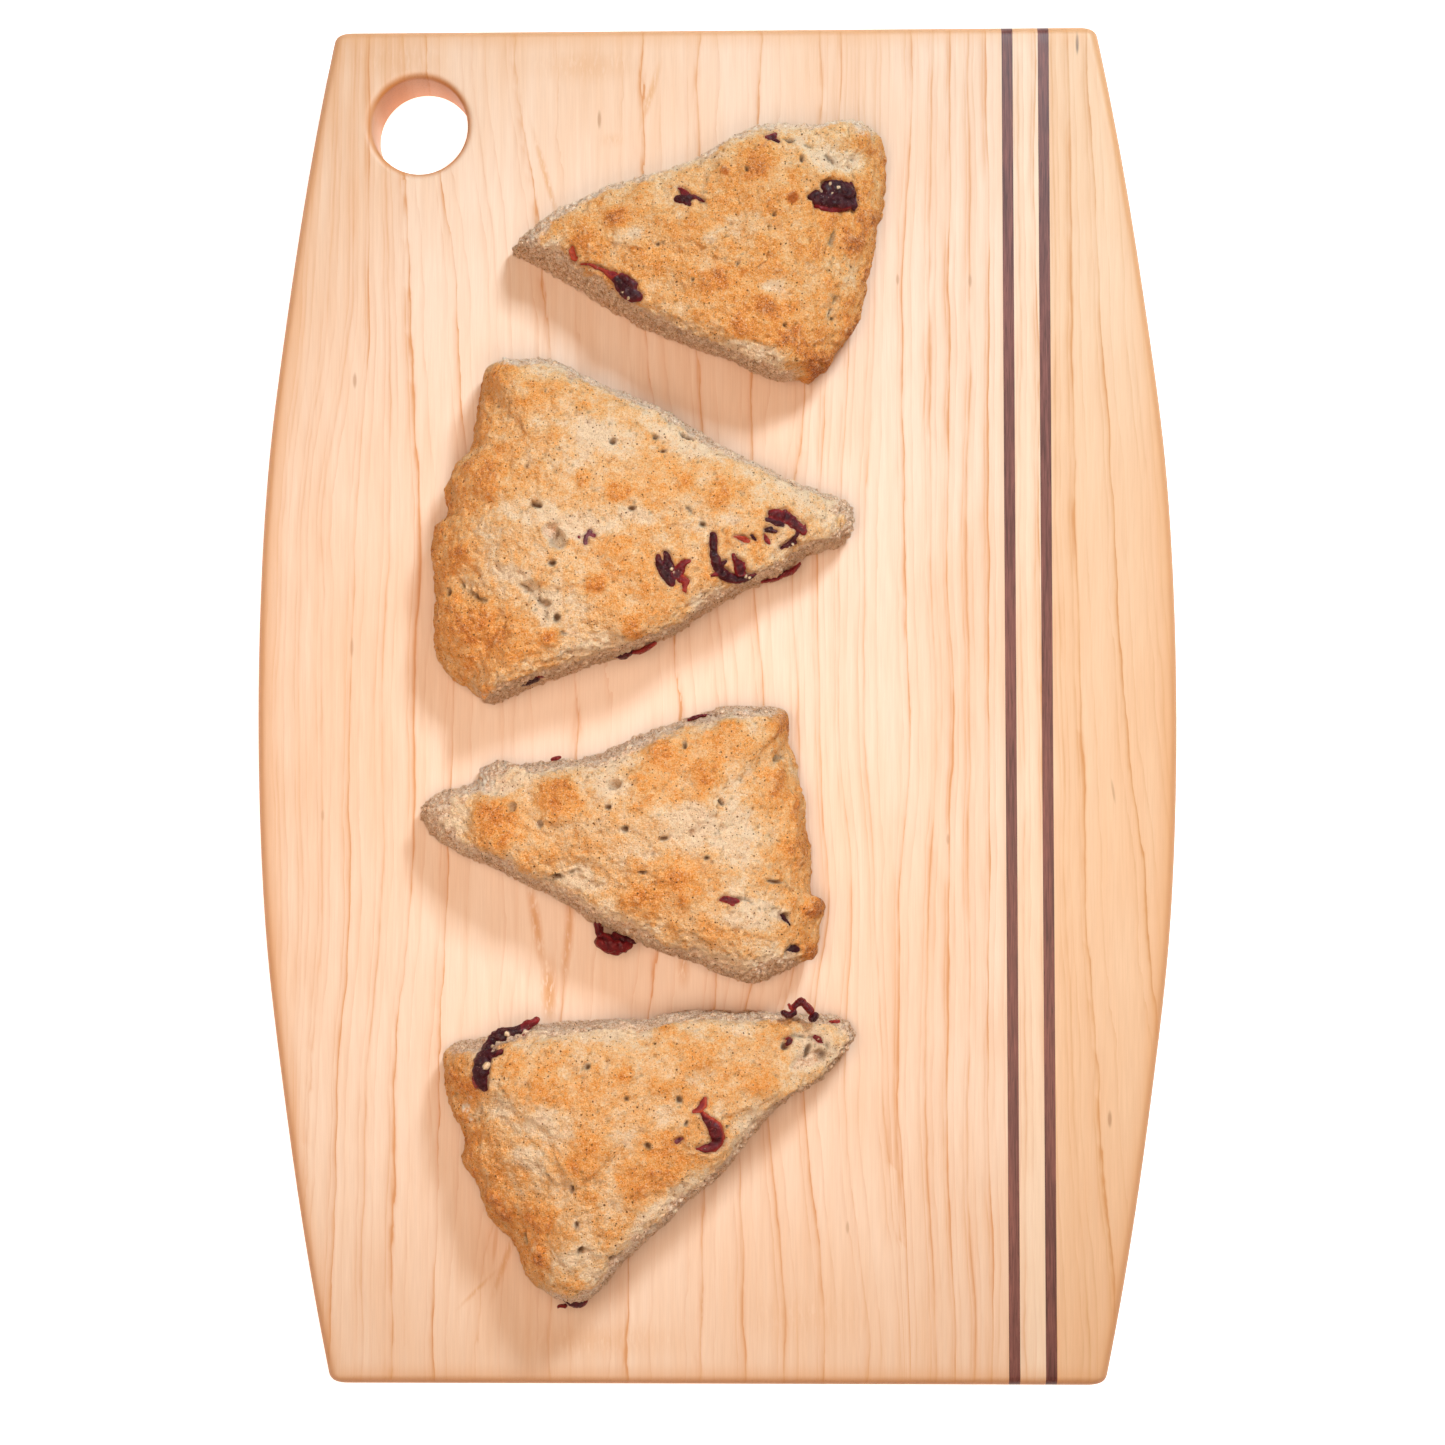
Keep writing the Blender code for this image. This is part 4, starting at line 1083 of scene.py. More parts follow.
# Each scone: its outline (mm, at the board), and what lies on its crust:
# bumps (x, y, radius, height, browning), pale patches (x, y, radii, turn, strength),
# holes (x, y, radii, turn), deep pits (and depth), cracks, zest and flour spots.
SCONES = {
    "scone_1": dict(
        zest=[(3.4, 132.2, 1.0), (20.7, 125.9, 1.5)],
        apex=(-53, 118), corner_a=(43, 147), corner_b=(21, 83), height=27.5, low=0.78, tone=0.10,
        outline=[(-53, 118), (-44, 126), (-31, 132), (-18, 136), (-5, 140), (7, 147), (15, 149), (27, 149),
                 (38, 150), (42, 148), (44, 144), (44, 134), (43, 122), (40, 112), (38, 102), (33, 92),
                 (26, 84), (21, 83), (16, 83), (4, 89), (-5, 92), (-15, 96), (-23, 100), (-32, 105), (-46, 114)],
        bumps=[(12.0, 136.1, 5.8, 0.50, 0.35), (3.0, 132.8, 1.4, 0.10, 0.50), (20.3, 126.1, 1.4, 0.15, 0.75),
              (1.0, 105.1, 4.5, 0.40, 0.35), (12.5, 99.8, 3.9, 0.60, 0.45), (-24.6, 121.7, 3.9, 0.30, 0.45),
              (-6.0, 118.9, 3.2, 0.20, 0.15), (35.5, 95.2, 3.2, 0.50, 0.25), (20.1, 89.4, 5.8, 0.50, 0.25),
              (-32.3, 117.9, 3.9, 0.20, 0.25), (38.4, 142.0, 3.9, 0.50, 0.20), (40.2, 124.0, 3.2, 0.40, 0.20),
              (-12.4, 109.8, 4.5, 0.20, 0.12), (15.7, 109.6, 3.9, 0.20, 0.15), (-17.6, 129.0, 3.2, 0.20, 0.20),
              (7.4, 92.7, 3.9, 0.30, 0.30), (23.4, 113.5, 3.9, 0.20, 0.10), (27.1, 85.5, 3.9, 0.40, 0.35)],
        pale=[(31.9, 135.3, 7.7, 2.9, 0, 0.55), (10.6, 87.1, 11.0, 2.9, -12, 0.60),
             (-21.4, 116.4, 3.9, 2.6, 0, 0.45), (15.7, 104.4, 3.2, 2.6, 0, 0.40),
             (-42.0, 114.0, 2.9, 3.9, 0, 0.60), (34.3, 108.2, 3.9, 3.9, 0, 0.30),
             (8.1, 118.8, 7.7, 3.9, 0, 0.25), (-0.9, 116.3, 1.9, 1.9, 0, 0.30),
             (22.8, 119.4, 3.9, 2.6, 0, 0.25), (-31.0, 103.4, 5.2, 1.9, -30, 0.20)],
        holes=[(19.4, 141.2, 1.68, 0.32, 0), (22.7, 135.9, 0.58, 1.03, 0), (8.5, 133.1, 0.52, 0.77, 0),
              (-14.3, 114.7, 0.52, 0.52, 0), (30.7, 96.2, 0.45, 0.45, 0), (18.1, 93.8, 0.45, 0.65, 0),
              (-5.0, 105.6, 0.45, 0.45, 0), (15.5, 121.4, 0.45, 0.45, 0), (6.2, 109.0, 0.45, 0.58, 0),
              (28.1, 84.8, 1.94, 1.03, -60)],
        cracks=[[(23.6, 140.0), (29.4, 136.7), (31.9, 134.0)], [(32.5, 121.4), (29.8, 113.5), (31.7, 104.3),
               (29.7, 96.5)]],
        ),
    "scone_2": dict(
        pits=[(-40.4, 41.0, 2.9, 2.2, -20, 2.6)],
        apex=(36, 49), corner_a=(-59, 87), corner_b=(-61, 0), height=30.0, low=0.76, tone=0.0,
        outline=[(36, 49), (34, 41), (23, 37), (17, 32), (9, 29), (-2, 23), (-15, 15), (-32, 9), (-46, 4),
                 (-58, -1), (-61, 0), (-65, 3), (-70, 8), (-73, 17), (-73, 28), (-74, 38), (-72, 45),
                 (-69.5, 48), (-70, 56), (-67, 61), (-63, 66), (-61, 79), (-60, 86), (-57, 88), (-48, 88),
                 (-42, 88), (-30, 82), (-20, 78), (-11, 74), (1, 66), (15, 59), (25, 54), (34, 51)],
        bumps=[(-29.1, 28.5, 3.0, 0.75, 0.50), (-19.9, 16.7, 3.5, 0.50, 0.55), (-41.2, 14.7, 2.5, 0.50, 0.50),
              (-53.0, 82.3, 4.3, 0.70, 0.50), (-56.4, 54.8, 5.8, 0.80, 0.40), (-64.2, 35.5, 4.3, 0.60, 0.35),
              (-22.8, 51.0, 3.3, 0.25, 0.40), (-14.2, 54.5, 8.7, 0.50, 0.20), (-32.8, 54.6, 2.9, 0.20, 0.30),
              (-42.9, 75.6, 5.1, 0.40, 0.25), (-32.8, 72.6, 2.2, 0.20, 0.35), (-60.5, 19.7, 6.5, 0.60, 0.30),
              (-51.2, 14.0, 6.5, 0.50, 0.25), (-57.6, 0.5, 3.6, 0.50, 0.40), (-7.1, 53.7, 3.6, 0.20, 0.25),
              (-11.4, 23.8, 8.0, 0.40, 0.20), (-27.0, 36.7, 5.8, 0.30, 0.20), (1.4, 50.8, 4.3, 0.30, 0.30),
              (11.3, 43.6, 4.3, 0.30, 0.15), (-38.3, 7.5, 2.9, 0.20, 0.20), (-62.2, 58.5, 2.9, 0.50, 0.30),
              (12.0, 35.8, 4.3, 0.30, 0.20)],
        pale=[(-38.4, 43.9, 13.7, 4.0, -10, 0.50), (-27.1, 64.7, 12.3, 5.8, -15, 0.35),
             (-8.5, 64.5, 11.6, 3.6, -28, 0.40), (22.0, 50.8, 5.8, 2.9, -25, 0.30),
             (-49.1, 28.9, 6.5, 2.9, -20, 0.40), (-29.8, 12.5, 8.0, 2.5, 15, 0.35),
             (-0.7, 23.7, 4.3, 2.9, 30, 0.40), (-55.0, 65.6, 4.3, 2.2, 0, 0.20),
             (-18.5, 45.2, 4.3, 2.2, -10, 0.35), (2.8, 45.1, 3.6, 2.2, 0, 0.35),
             (-41.9, 21.8, 3.6, 5.1, -20, 0.45), (-37.1, 57.5, 4.3, 2.9, 0, 0.20)],
        holes=[(-38.6, 38.9, 2.60, 2.60, 0), (-25.3, 63.9, 1.01, 0.65, 0), (-44.5, 47.9, 1.45, 0.65, -15),
              (-20.3, 46.9, 1.01, 0.58, 0), (-14.2, 65.1, 0.87, 0.51, 0), (-40.2, 33.0, 1.01, 0.58, 0),
              (-2.5, 42.8, 0.87, 0.87, 0), (-67.7, 26.9, 0.72, 1.01, 0), (-41.9, 22.8, 1.01, 1.01, 0),
              (-39.1, 19.3, 0.87, 1.16, 0), (-12.4, 61.5, 0.87, 0.36, 0), (-6.4, 65.6, 2.17, 0.58, -20)],
        cracks=[[(-48.4, 27.5), (-45.1, 25.4), (-42.3, 22.1), (-41.2, 18.6), (-36.9, 15.0)], [(-6.8, 47.3),
               (-4.3, 45.1), (-2.1, 42.3)], [(-64.8, 29.0), (-60.5, 25.4), (-57.3, 24.0)], [(1.4, 23.4),
               (4.9, 25.9), (12.7, 27.3)]],
        ),
    "scone_3": dict(
        flour=[(-60, -21, 4.0)],
        apex=(-77, -29), corner_a=(18, -3), corner_b=(22, -68), height=27.5, low=0.76, tone=-0.02,
        outline=[(-77, -29), (-74, -25), (-64, -22), (-61, -18), (-56, -16), (-51, -17), (-42, -16), (-33, -15),
                 (-25, -12), (-16, -8), (-7, -5), (4, -2), (10, -2), (18, -3), (19, -7), (19, -12), (21, -18),
                 (23, -28), (24, -38), (25, -44), (25, -51), (28, -53), (27, -58), (26, -64), (23, -68),
                 (16, -71), (11, -73), (4, -72), (-4, -69), (-12, -66), (-20, -63), (-31, -58), (-39, -53),
                 (-49, -48), (-59, -43), (-69, -39), (-75, -34)],
        bumps=[(-55.6, -32.8, 8.0, 0.80, 0.45), (-38.8, -25.7, 6.9, 0.80, 0.50), (-1.5, -19.4, 4.5, 0.50, 0.40),
              (-12.9, -13.7, 4.5, 0.50, 0.40), (-6.5, -47.7, 5.8, 0.60, 0.35), (-18.6, -51.9, 6.5, 0.50, 0.35),
              (25.3, -53.4, 3.3, 0.70, 0.40), (16.9, -5.9, 4.4, 0.60, 0.45), (4.8, -10.9, 6.5, 0.40, 0.20),
              (11.2, -29.3, 5.8, 0.40, 0.20), (-47.7, -42.7, 4.4, 0.30, 0.20), (20.4, -38.5, 4.4, 0.60, 0.25),
              (-11.5, -59.7, 5.1, 0.30, 0.20), (-32.1, -37.0, 4.4, 0.30, 0.20), (23.9, -64.7, 2.9, 0.50, 0.40),
              (8.3, -62.5, 4.4, 0.20, 0.15), (14.7, -22.2, 5.1, 0.40, 0.25), (-0.9, -59.0, 3.6, 0.20, 0.20),
              (-15.1, -57.6, 1.3, 0.10, 0.50)],
        pale=[(-2.3, -32.8, 16.0, 6.5, 0, 0.50), (-25.7, -22.9, 4.4, 4.4, 0, 0.60),
             (-54.2, -21.4, 8.7, 2.9, 15, 0.60), (-69.9, -29.2, 5.1, 4.4, 0, 0.60),
             (9.0, -55.5, 8.7, 3.6, -5, 0.50), (-32.1, -47.0, 6.5, 2.9, -20, 0.50),
             (4.1, -67.5, 10.9, 2.5, -10, 0.55), (-29.2, -16.5, 6.5, 2.5, 10, 0.50),
             (6.2, -41.3, 7.3, 3.6, -10, 0.35), (2.0, -5.2, 8.7, 2.5, 10, 0.50),
             (-17.2, -38.5, 6.5, 2.9, 0, 0.30)],
        holes=[(-26.7, -28.2, 0.73, 0.65, 0), (-12.5, -36.1, 1.31, 0.44, 0), (15.5, -46.8, 2.18, 0.51, -5),
              (-51.1, -28.0, 1.02, 1.16, 0), (-44.2, -32.2, 1.02, 1.02, 0), (-22.3, -33.5, 1.02, 0.87, 0),
              (18.2, -55.8, 0.87, 1.16, 0), (2.0, -27.1, 1.02, 0.44, -30), (-7.2, -12.6, 0.65, 1.02, 0),
              (16.2, -15.8, 1.45, 0.73, 20), (-24.9, -22.2, 1.74, 1.31, 0), (-39.9, -45.9, 1.16, 0.87, 0),
              (-1.6, -40.9, 0.65, 0.65, 0), (-17.9, -44.8, 1.02, 0.36, 0)],
        cracks=[[(14.0, -17.3), (17.6, -15.1), (19.7, -15.9)], [(-42.0, -47.7), (-37.8, -45.5), (-34.9, -44.1)],
               [(2.7, -51.2), (9.7, -51.2), (16.8, -54.8)]],
        ),
    "scone_4": dict(
        flour=[(-63.6, -104.0, 1.6), (-61.4, -106.5, 1.5), (-62.5, -101.0, 1.0)], pits=[(24.0, -92.0, 6.0, 2.6, 20, 2.0)],
        apex=(36, -86), corner_a=(-69, -90), corner_b=(-44, -153), height=28.5, low=0.74, tone=0.0,
        outline=[(36, -86), (33, -83), (28, -82), (14, -81), (5, -81), (-7, -81), (-17, -83), (-27, -83),
                 (-35, -84), (-46, -84), (-56, -86), (-62, -88), (-67, -89), (-70, -92), (-70, -96),
                 (-69, -101), (-68, -106), (-65, -113), (-65, -119), (-61, -124), (-59, -129), (-57, -133),
                 (-53, -137), (-50, -143), (-49, -149), (-43, -153), (-36, -155), (-30, -152), (-25, -146),
                 (-19, -140), (-11, -133), (-3, -126), (3, -120), (11, -110), (19, -102), (28, -97), (34, -90)],
        bumps=[(-31.3, -115.3, 6.4, 0.40, 0.30), (-18.9, -120.9, 6.4, 0.50, 0.40),
              (-43.3, -130.2, 5.3, 0.50, 0.40), (12.4, -97.1, 4.3, 0.40, 0.35), (15.8, -83.2, 5.7, 0.60, 0.35),
              (-42.4, -97.9, 5.7, 0.30, 0.25), (-21.5, -93.6, 3.2, 0.20, 0.35),
              (-12.6, -115.9, 6.4, 0.40, 0.30), (-44.0, -140.8, 2.8, 0.40, 0.35),
              (-64.0, -91.1, 3.5, 0.40, 0.30), (-29.9, -100.6, 6.4, 0.20, 0.15),
              (-49.3, -91.0, 3.5, 0.30, 0.30), (-5.6, -90.1, 6.4, 0.30, 0.15), (-0.1, -85.2, 4.3, 0.20, 0.15),
              (5.4, -103.3, 3.5, 0.30, 0.20), (-37.0, -133.6, 3.5, 0.30, 0.20), (28.9, -83.2, 3.5, 0.30, 0.20),
              (-56.2, -126.8, 2.8, 0.50, 0.30), (-53.1, -131.0, 2.8, 0.40, 0.30)],
        pale=[(-40.4, -107.7, 7.1, 4.3, 0, 0.45), (-46.0, -116.8, 5.7, 3.5, -20, 0.40),
             (-11.2, -104.0, 5.0, 3.5, 0, 0.35), (24.1, -90.1, 5.3, 4.3, 0, 0.60),
             (-34.3, -140.7, 6.4, 4.3, 0, 0.45), (-21.6, -109.0, 5.0, 2.8, 0, 0.25),
             (-4.2, -95.7, 5.7, 2.8, 0, 0.20), (-54.3, -102.9, 5.0, 3.5, 0, 0.35),
             (-11.9, -127.1, 10.6, 2.5, 42, 0.45), (14.4, -106.1, 8.5, 2.1, 40, 0.45),
             (-30.8, -145.6, 3.5, 2.1, 0, 0.40), (-25.7, -85.3, 11.3, 1.8, 3, 0.35)],
        holes=[(-8.7, -101.1, 0.92, 0.92, 0), (-48.1, -136.9, 0.85, 1.42, 0), (-31.6, -92.8, 0.85, 0.71, 0),
              (-33.1, -138.7, 0.85, 0.85, 0), (-6.9, -107.0, 0.64, 0.64, 0), (-16.4, -112.6, 0.64, 0.85, 0),
              (3.5, -107.9, 0.43, 0.43, 0), (-35.6, -123.1, 0.85, 0.85, 0), (-34.2, -132.2, 0.57, 0.99, 0),
              (-25.2, -141.0, 0.99, 0.64, 0), (17.5, -88.4, 0.99, 0.99, 0), (23.8, -89.4, 0.71, 2.13, -20),
              (-21.6, -100.7, 0.57, 0.57, 0)],
        cracks=[[(-42.2, -118.5), (-40.8, -121.0), (-39.4, -123.2)], [(15.8, -87.0), (20.0, -86.0),
               (26.9, -86.3), (28.9, -88.7)], [(-66.2, -100.9), (-62.7, -102.9), (-61.3, -105.7)]],
        ),
}

# The berries: strokes (brightness, [(x, y, radius), ...]) in mm on the board's plan; z is the height of
# one that shows at a side, None for one lying in the crust.
BERRIES = {
    "scone_1_cranberry_1": dict(z=None, crumbs=[(29.8, 130.0, 0.41), (31.8, 129.2, 0.51), (30.3, 127.7, 0.25)], rim=0.15, 
        strokes=[(0.05, [(29.6, 129.0, 2.03), (31.6, 129.0, 2.53), (33.6, 128.5, 2.28)]),
                 (0.12, [(26.5, 126.1, 1.52), (30.1, 126.4, 2.53), (33.3, 126.4, 2.28), (35.1, 125.9, 1.52)]),
                 (0.0, [(24.8, 126.4, 0.81), (26.3, 126.9, 1.27)]),
                 (0.42, [(26.3, 124.3, 0.61), (29.0, 123.8, 0.61), (32.1, 123.8, 0.66), (34.8, 124.8, 0.76)]),
                 (0.1, [(35.1, 130.8, 0.30), (36.1, 128.5, 0.35), (36.6, 125.9, 0.46), (35.8, 124.3, 0.61)])]),
    "scone_1_cranberry_2": dict(z=None, rim=0.2, 
        strokes=[(0.1, [(-9.0, 126.3, 0.89), (-7.7, 126.3, 1.26), (-6.5, 126.3, 1.39)]),
                 (0.35, [(-8.7, 129.2, 0.33), (-7.7, 128.4, 0.76), (-6.7, 127.3, 1.01)]),
                 (0.1, [(-6.7, 125.3, 0.63), (-5.7, 124.7, 0.38)]),
                 (0.25, [(-5.7, 126.6, 0.76), (-4.2, 126.5, 0.56), (-3.2, 126.0, 0.61), (-2.2, 125.5, 0.25)])]),
    "scone_1_cranberry_3": dict(z=None, crumbs=[(-23.0, 103.0, 0.23), (-21.5, 101.5, 0.31)], rim=0.25, 
        strokes=[(0.5, [(-33.9, 110.9, 0.18), (-31.6, 110.6, 0.23), (-29.6, 109.8, 0.41), (-27.1, 108.5, 0.66), (-25.3, 107.5, 1.15)]),
                 (0.12, [(-24.5, 106.4, 1.40), (-23.2, 104.8, 1.91), (-22.0, 103.5, 2.11), (-20.5, 102.5, 1.83), (-18.9, 102.0, 1.15)]),
                 (0.15, [(-23.3, 107.2, 0.92), (-20.2, 104.8, 1.02)])]),
    "scone_1_cranberry_4": dict(z=None, flat=True, rim=0.3, 
        strokes=[(0.95, [(-36.1, 115.3, 0.38), (-36.1, 114.0, 0.92), (-35.6, 112.7, 1.02)])]),
    "scone_1_cranberry_5": dict(z=None, rim=0.3, 
        strokes=[(0.3, [(13.7, 141.6, 0.56), (15.0, 141.6, 1.02), (15.8, 142.4, 0.66)]),
                 (0.05, [(15.8, 140.8, 0.66), (16.8, 140.3, 0.36)])]),
    "scone_1_cranberry_6": dict(z=11.0, rim=0.1, 
        strokes=[(0.1, [(26.7, 86.7, 0.67), (28.3, 88.3, 0.57)])]),
    "scone_2_cranberry_1": dict(z=None, rim=0.25, crumbs=[(13.4, 46.1, 0.30)], 
        strokes=[(0.35, [(14.4, 45.9, 1.01), (16.4, 45.6, 1.52)]),
                 (0.3, [(18.1, 45.3, 1.65), (19.9, 44.1, 1.52), (21.3, 42.8, 1.27), (22.8, 41.8, 1.01)]),
                 (0.3, [(18.1, 46.8, 0.66)]),
                 (0.0, [(13.6, 44.4, 0.76), (15.4, 43.8, 0.81), (17.4, 43.3, 0.76)]),
                 (0.25, [(23.1, 42.6, 0.51), (23.3, 43.6, 0.25)])]),
    "scone_2_cranberry_2": dict(z=None, rim=0.2, crumbs=[(18.9, 39.8, 0.41), (20.1, 38.5, 0.36), (19.3, 37.8, 0.25)], 
        strokes=[(0.2, [(17.3, 37.6, 0.46), (18.8, 38.6, 0.76), (20.1, 39.6, 0.66), (21.4, 41.3, 0.51)]),
                 (0.15, [(18.8, 38.1, 0.51), (20.8, 39.0, 0.43)])]),
    "scone_2_cranberry_3": dict(z=None, rim=0.2, 
        strokes=[(0.0, [(13.1, 41.7, 0.66), (14.4, 42.0, 0.91)]),
                 (0.5, [(12.9, 40.5, 0.58), (13.6, 39.2, 0.61), (14.1, 38.5, 0.35)]),
                 (0.2, [(14.4, 41.7, 0.63), (15.9, 41.5, 0.41)])]),
    "scone_2_cranberry_4": dict(z=None, rim=0.2, crumbs=[(-10.3, 31.7, 0.40), (-9.8, 30.9, 0.25)], 
        strokes=[(0.15, [(-13.8, 34.9, 0.50), (-13.5, 33.2, 1.06), (-12.5, 31.5, 1.41), (-11.5, 29.7, 1.61), (-10.6, 28.5, 1.26)]),
                 (0.12, [(-12.0, 35.9, 0.65), (-11.5, 34.2, 1.13), (-11.0, 31.9, 1.38)]),
                 (0.4, [(-9.1, 30.4, 1.51), (-8.3, 31.9, 1.26), (-7.3, 33.2, 0.91), (-6.1, 33.7, 0.50)]),
                 (0.55, [(-8.3, 29.2, 1.26), (-6.6, 28.7, 0.76), (-7.3, 27.5, 0.76), (-7.1, 26.2, 0.55)])]),
    "scone_2_cranberry_5": dict(z=None, rim=0.25, crumbs=[(8.2, 30.1, 0.45), (9.2, 29.8, 0.40)], 
        strokes=[(0.12, [(0.0, 40.3, 0.86), (0.0, 38.3, 1.11), (0.0, 36.3, 1.11), (0.5, 34.3, 1.26), (1.2, 32.1, 1.39), (2.7, 30.6, 1.51), (4.9, 29.6, 1.16), (7.2, 29.6, 1.16), (8.9, 29.8, 0.86), (10.6, 30.6, 0.30)]),
                 (0.3, [(-0.5, 30.1, 0.28), (0.7, 30.6, 0.50)]),
                 (0.3, [(5.0, 35.6, 0.30), (5.7, 34.1, 0.86), (6.7, 32.6, 1.41), (6.9, 31.1, 1.41)]),
                 (0.3, [(7.7, 33.3, 0.50), (7.2, 32.3, 0.50)]),
                 (0.1, [(2.0, 32.8, 0.76), (3.2, 33.8, 0.45)])]),
    "scone_2_cranberry_6": dict(z=None, rim=0.2, 
        strokes=[(0.8, [(5.0, 40.0, 0.25), (6.5, 39.8, 0.71), (7.7, 39.4, 0.91), (8.7, 39.0, 0.66)]),
                 (0.0, [(9.7, 40.3, 0.40), (10.7, 39.3, 0.35)])]),
    "scone_2_cranberry_7": dict(z=None, bloom=0.6, rim=0.2, 
        strokes=[(0.4, [(-33.5, 39.6, 0.35)]),
                 (0.1, [(-32.0, 38.1, 0.75), (-31.8, 39.6, 0.65)]),
                 (0.1, [(-31.8, 39.6, 0.60), (-30.8, 40.9, 0.70)]),
                 (0.45, [(-30.8, 40.4, 0.65), (-29.8, 39.9, 0.65)])]),
    "scone_2_cranberry_8": dict(z=15.0, rim=0.2, hv=1.6, crumbs=[(-44.3, 6.6, 0.21)], 
        strokes=[(0.0, [(-52.9, 5.1, 0.51), (-51.9, 5.1, 0.51)]),
                 (0.05, [(-49.9, 4.3, 0.67), (-47.3, 4.8, 0.87), (-45.1, 5.6, 0.67)]),
                 (0.45, [(-48.8, 6.3, 0.77), (-46.3, 6.3, 0.87), (-44.3, 6.6, 0.77), (-43.0, 6.8, 0.56)])]),
    "scone_2_cranberry_9": dict(z=12.0, rim=0.2, hv=1.6, 
        strokes=[(0.25, [(-25.6, 11.5, 0.41), (-23.6, 11.7, 0.88), (-21.5, 12.5, 0.57)]),
                 (0.6, [(-21.5, 12.5, 0.52), (-19.5, 12.7, 0.62), (-17.5, 13.7, 0.67), (-15.7, 14.8, 0.46)])]),
    "scone_2_cranberry_10": dict(z=8.0, rim=0.2, hv=1.6, 
        strokes=[(0.5, [(11.8, 30.2, 0.36), (14.1, 30.7, 0.57), (16.1, 31.2, 0.52), (17.9, 32.3, 0.83), (19.7, 33.0, 0.78), (21.7, 34.8, 0.52)])]),
    "scone_3_cranberry_1": dict(z=8.0, rim=0.1, hv=3.2, fold=0.45, 
        strokes=[(0.35, [(-30.2, -58.3, 0.62), (-30.0, -60.3, 0.99)]),
                 (0.45, [(-29.0, -62.3, 1.97), (-26.7, -63.4, 2.34), (-24.4, -63.6, 2.18), (-22.4, -63.1, 1.30)]),
                 (0.2, [(-25.9, -61.8, 1.30), (-22.4, -62.3, 1.04), (-20.6, -62.8, 0.42)])]),
    "scone_3_cranberry_2": dict(z=None, rim=0.3, 
        strokes=[(0.35, [(1.6, -51.3, 0.45), (3.1, -51.1, 0.91), (4.6, -51.6, 1.06), (6.0, -51.6, 0.56)]),
                 (0.4, [(4.6, -52.1, 0.76), (5.1, -52.8, 0.40)])]),
    "scone_3_cranberry_3": dict(z=13.0, rim=0.2, hv=1.3, 
        strokes=[(0.35, [(-6.6, -5.7, 0.36), (-5.1, -5.2, 0.57), (-3.9, -4.7, 0.41), (-2.1, -4.7, 0.46), (-0.9, -5.0, 0.28)])]),
    "scone_3_cranberry_4": dict(z=13.0, rim=0.2, hv=1.2, 
        strokes=[(0.5, [(-41.7, -15.8, 0.46), (-40.5, -15.5, 0.57), (-39.7, -15.2, 0.36)])]),
    "scone_3_cranberry_5": dict(z=None, rim=0.1, deep=1.2, 
        strokes=[(0.05, [(18.9, -64.4, 0.87), (19.8, -63.9, 1.12), (20.8, -64.2, 0.76)])]),
    "scone_3_cranberry_6": dict(z=None, rim=0.1, deep=0.9, 
        strokes=[(0.0, [(16.9, -55.6, 0.51), (17.6, -56.1, 0.61), (18.1, -56.8, 0.30)]),
                 (0.0, [(16.6, -54.6, 0.20), (16.9, -55.4, 0.30)]),
                 (0.0, [(18.1, -56.6, 0.30), (19.1, -57.8, 0.20)])]),
    "scone_4_cranberry_1": dict(z=None, rim=0.2, crumbs=[(-52.4, -85.4, 0.66), (-54.5, -87.6, 0.56), (-56.0, -88.4, 0.40), (-57.2, -92.9, 0.86), (-48.2, -84.4, 0.30)], tall=1.25, 
        strokes=[(0.08, [(-57.7, -98.4, 1.06), (-58.5, -96.6, 1.90), (-58.5, -94.1, 2.28), (-58.0, -91.6, 2.02), (-57.5, -89.4, 1.64), (-56.2, -87.4, 1.77), (-54.2, -85.9, 2.02), (-51.7, -85.4, 1.77), (-49.2, -84.6, 1.42)]),
                 (0.35, [(-49.2, -84.6, 1.26), (-47.2, -83.4, 1.16), (-45.2, -82.1, 0.71)]),
                 (0.1, [(-53.7, -89.4, 0.61), (-55.7, -90.1, 0.91)]),
                 (0.45, [(-48.0, -85.8, 0.51)]),
                 (0.5, [(-60.5, -95.9, 0.61), (-59.5, -97.9, 0.56)])]),
    "scone_4_cranberry_2": dict(z=None, rim=0.62, rimside=1, flat=False, 
        strokes=[(0.55, [(-5.1, -104.0, 0.43), (-3.7, -103.7, 0.71), (-2.7, -102.5, 1.01), (-2.2, -101.0, 0.71)]),
                 (0.35, [(-2.7, -104.7, 0.71), (-1.4, -106.2, 1.21), (0.0, -107.9, 1.77), (0.8, -109.9, 1.89), (0.8, -111.9, 1.67), (-0.7, -113.2, 1.36), (-2.4, -113.4, 1.01), (-4.2, -113.2, 0.45)])]),
    "scone_4_cranberry_3": dict(nudge=(-0.3, -1.2), stay=True, z=18.5, rim=0.25, hv=1.6, 
        strokes=[(0.15, [(17.6, -78.8, 0.71), (19.1, -79.5, 0.82), (20.6, -78.8, 0.77)]),
                 (0.35, [(20.6, -77.3, 0.87), (22.1, -76.0, 1.02), (23.3, -77.0, 0.92), (24.6, -78.3, 0.87)]),
                 (0.1, [(25.8, -79.5, 0.92), (25.1, -80.3, 0.92)]),
                 (0.55, [(19.1, -76.8, 0.31), (19.6, -77.8, 0.41)])]),
    "scone_4_cranberry_4": dict(z=None, rim=0.2, 
        strokes=[(0.35, [(18.8, -87.1, 1.07), (18.3, -88.1, 0.51)])]),
    "scone_4_cranberry_5": dict(z=None, rim=0.2, crumbs=[(26.3, -86.9, 0.18)], 
        strokes=[(0.4, [(25.5, -86.4, 0.66), (26.5, -87.2, 0.66), (27.3, -87.7, 0.31)])]),
    "scone_4_cranberry_6": dict(z=None, rim=0.2, 
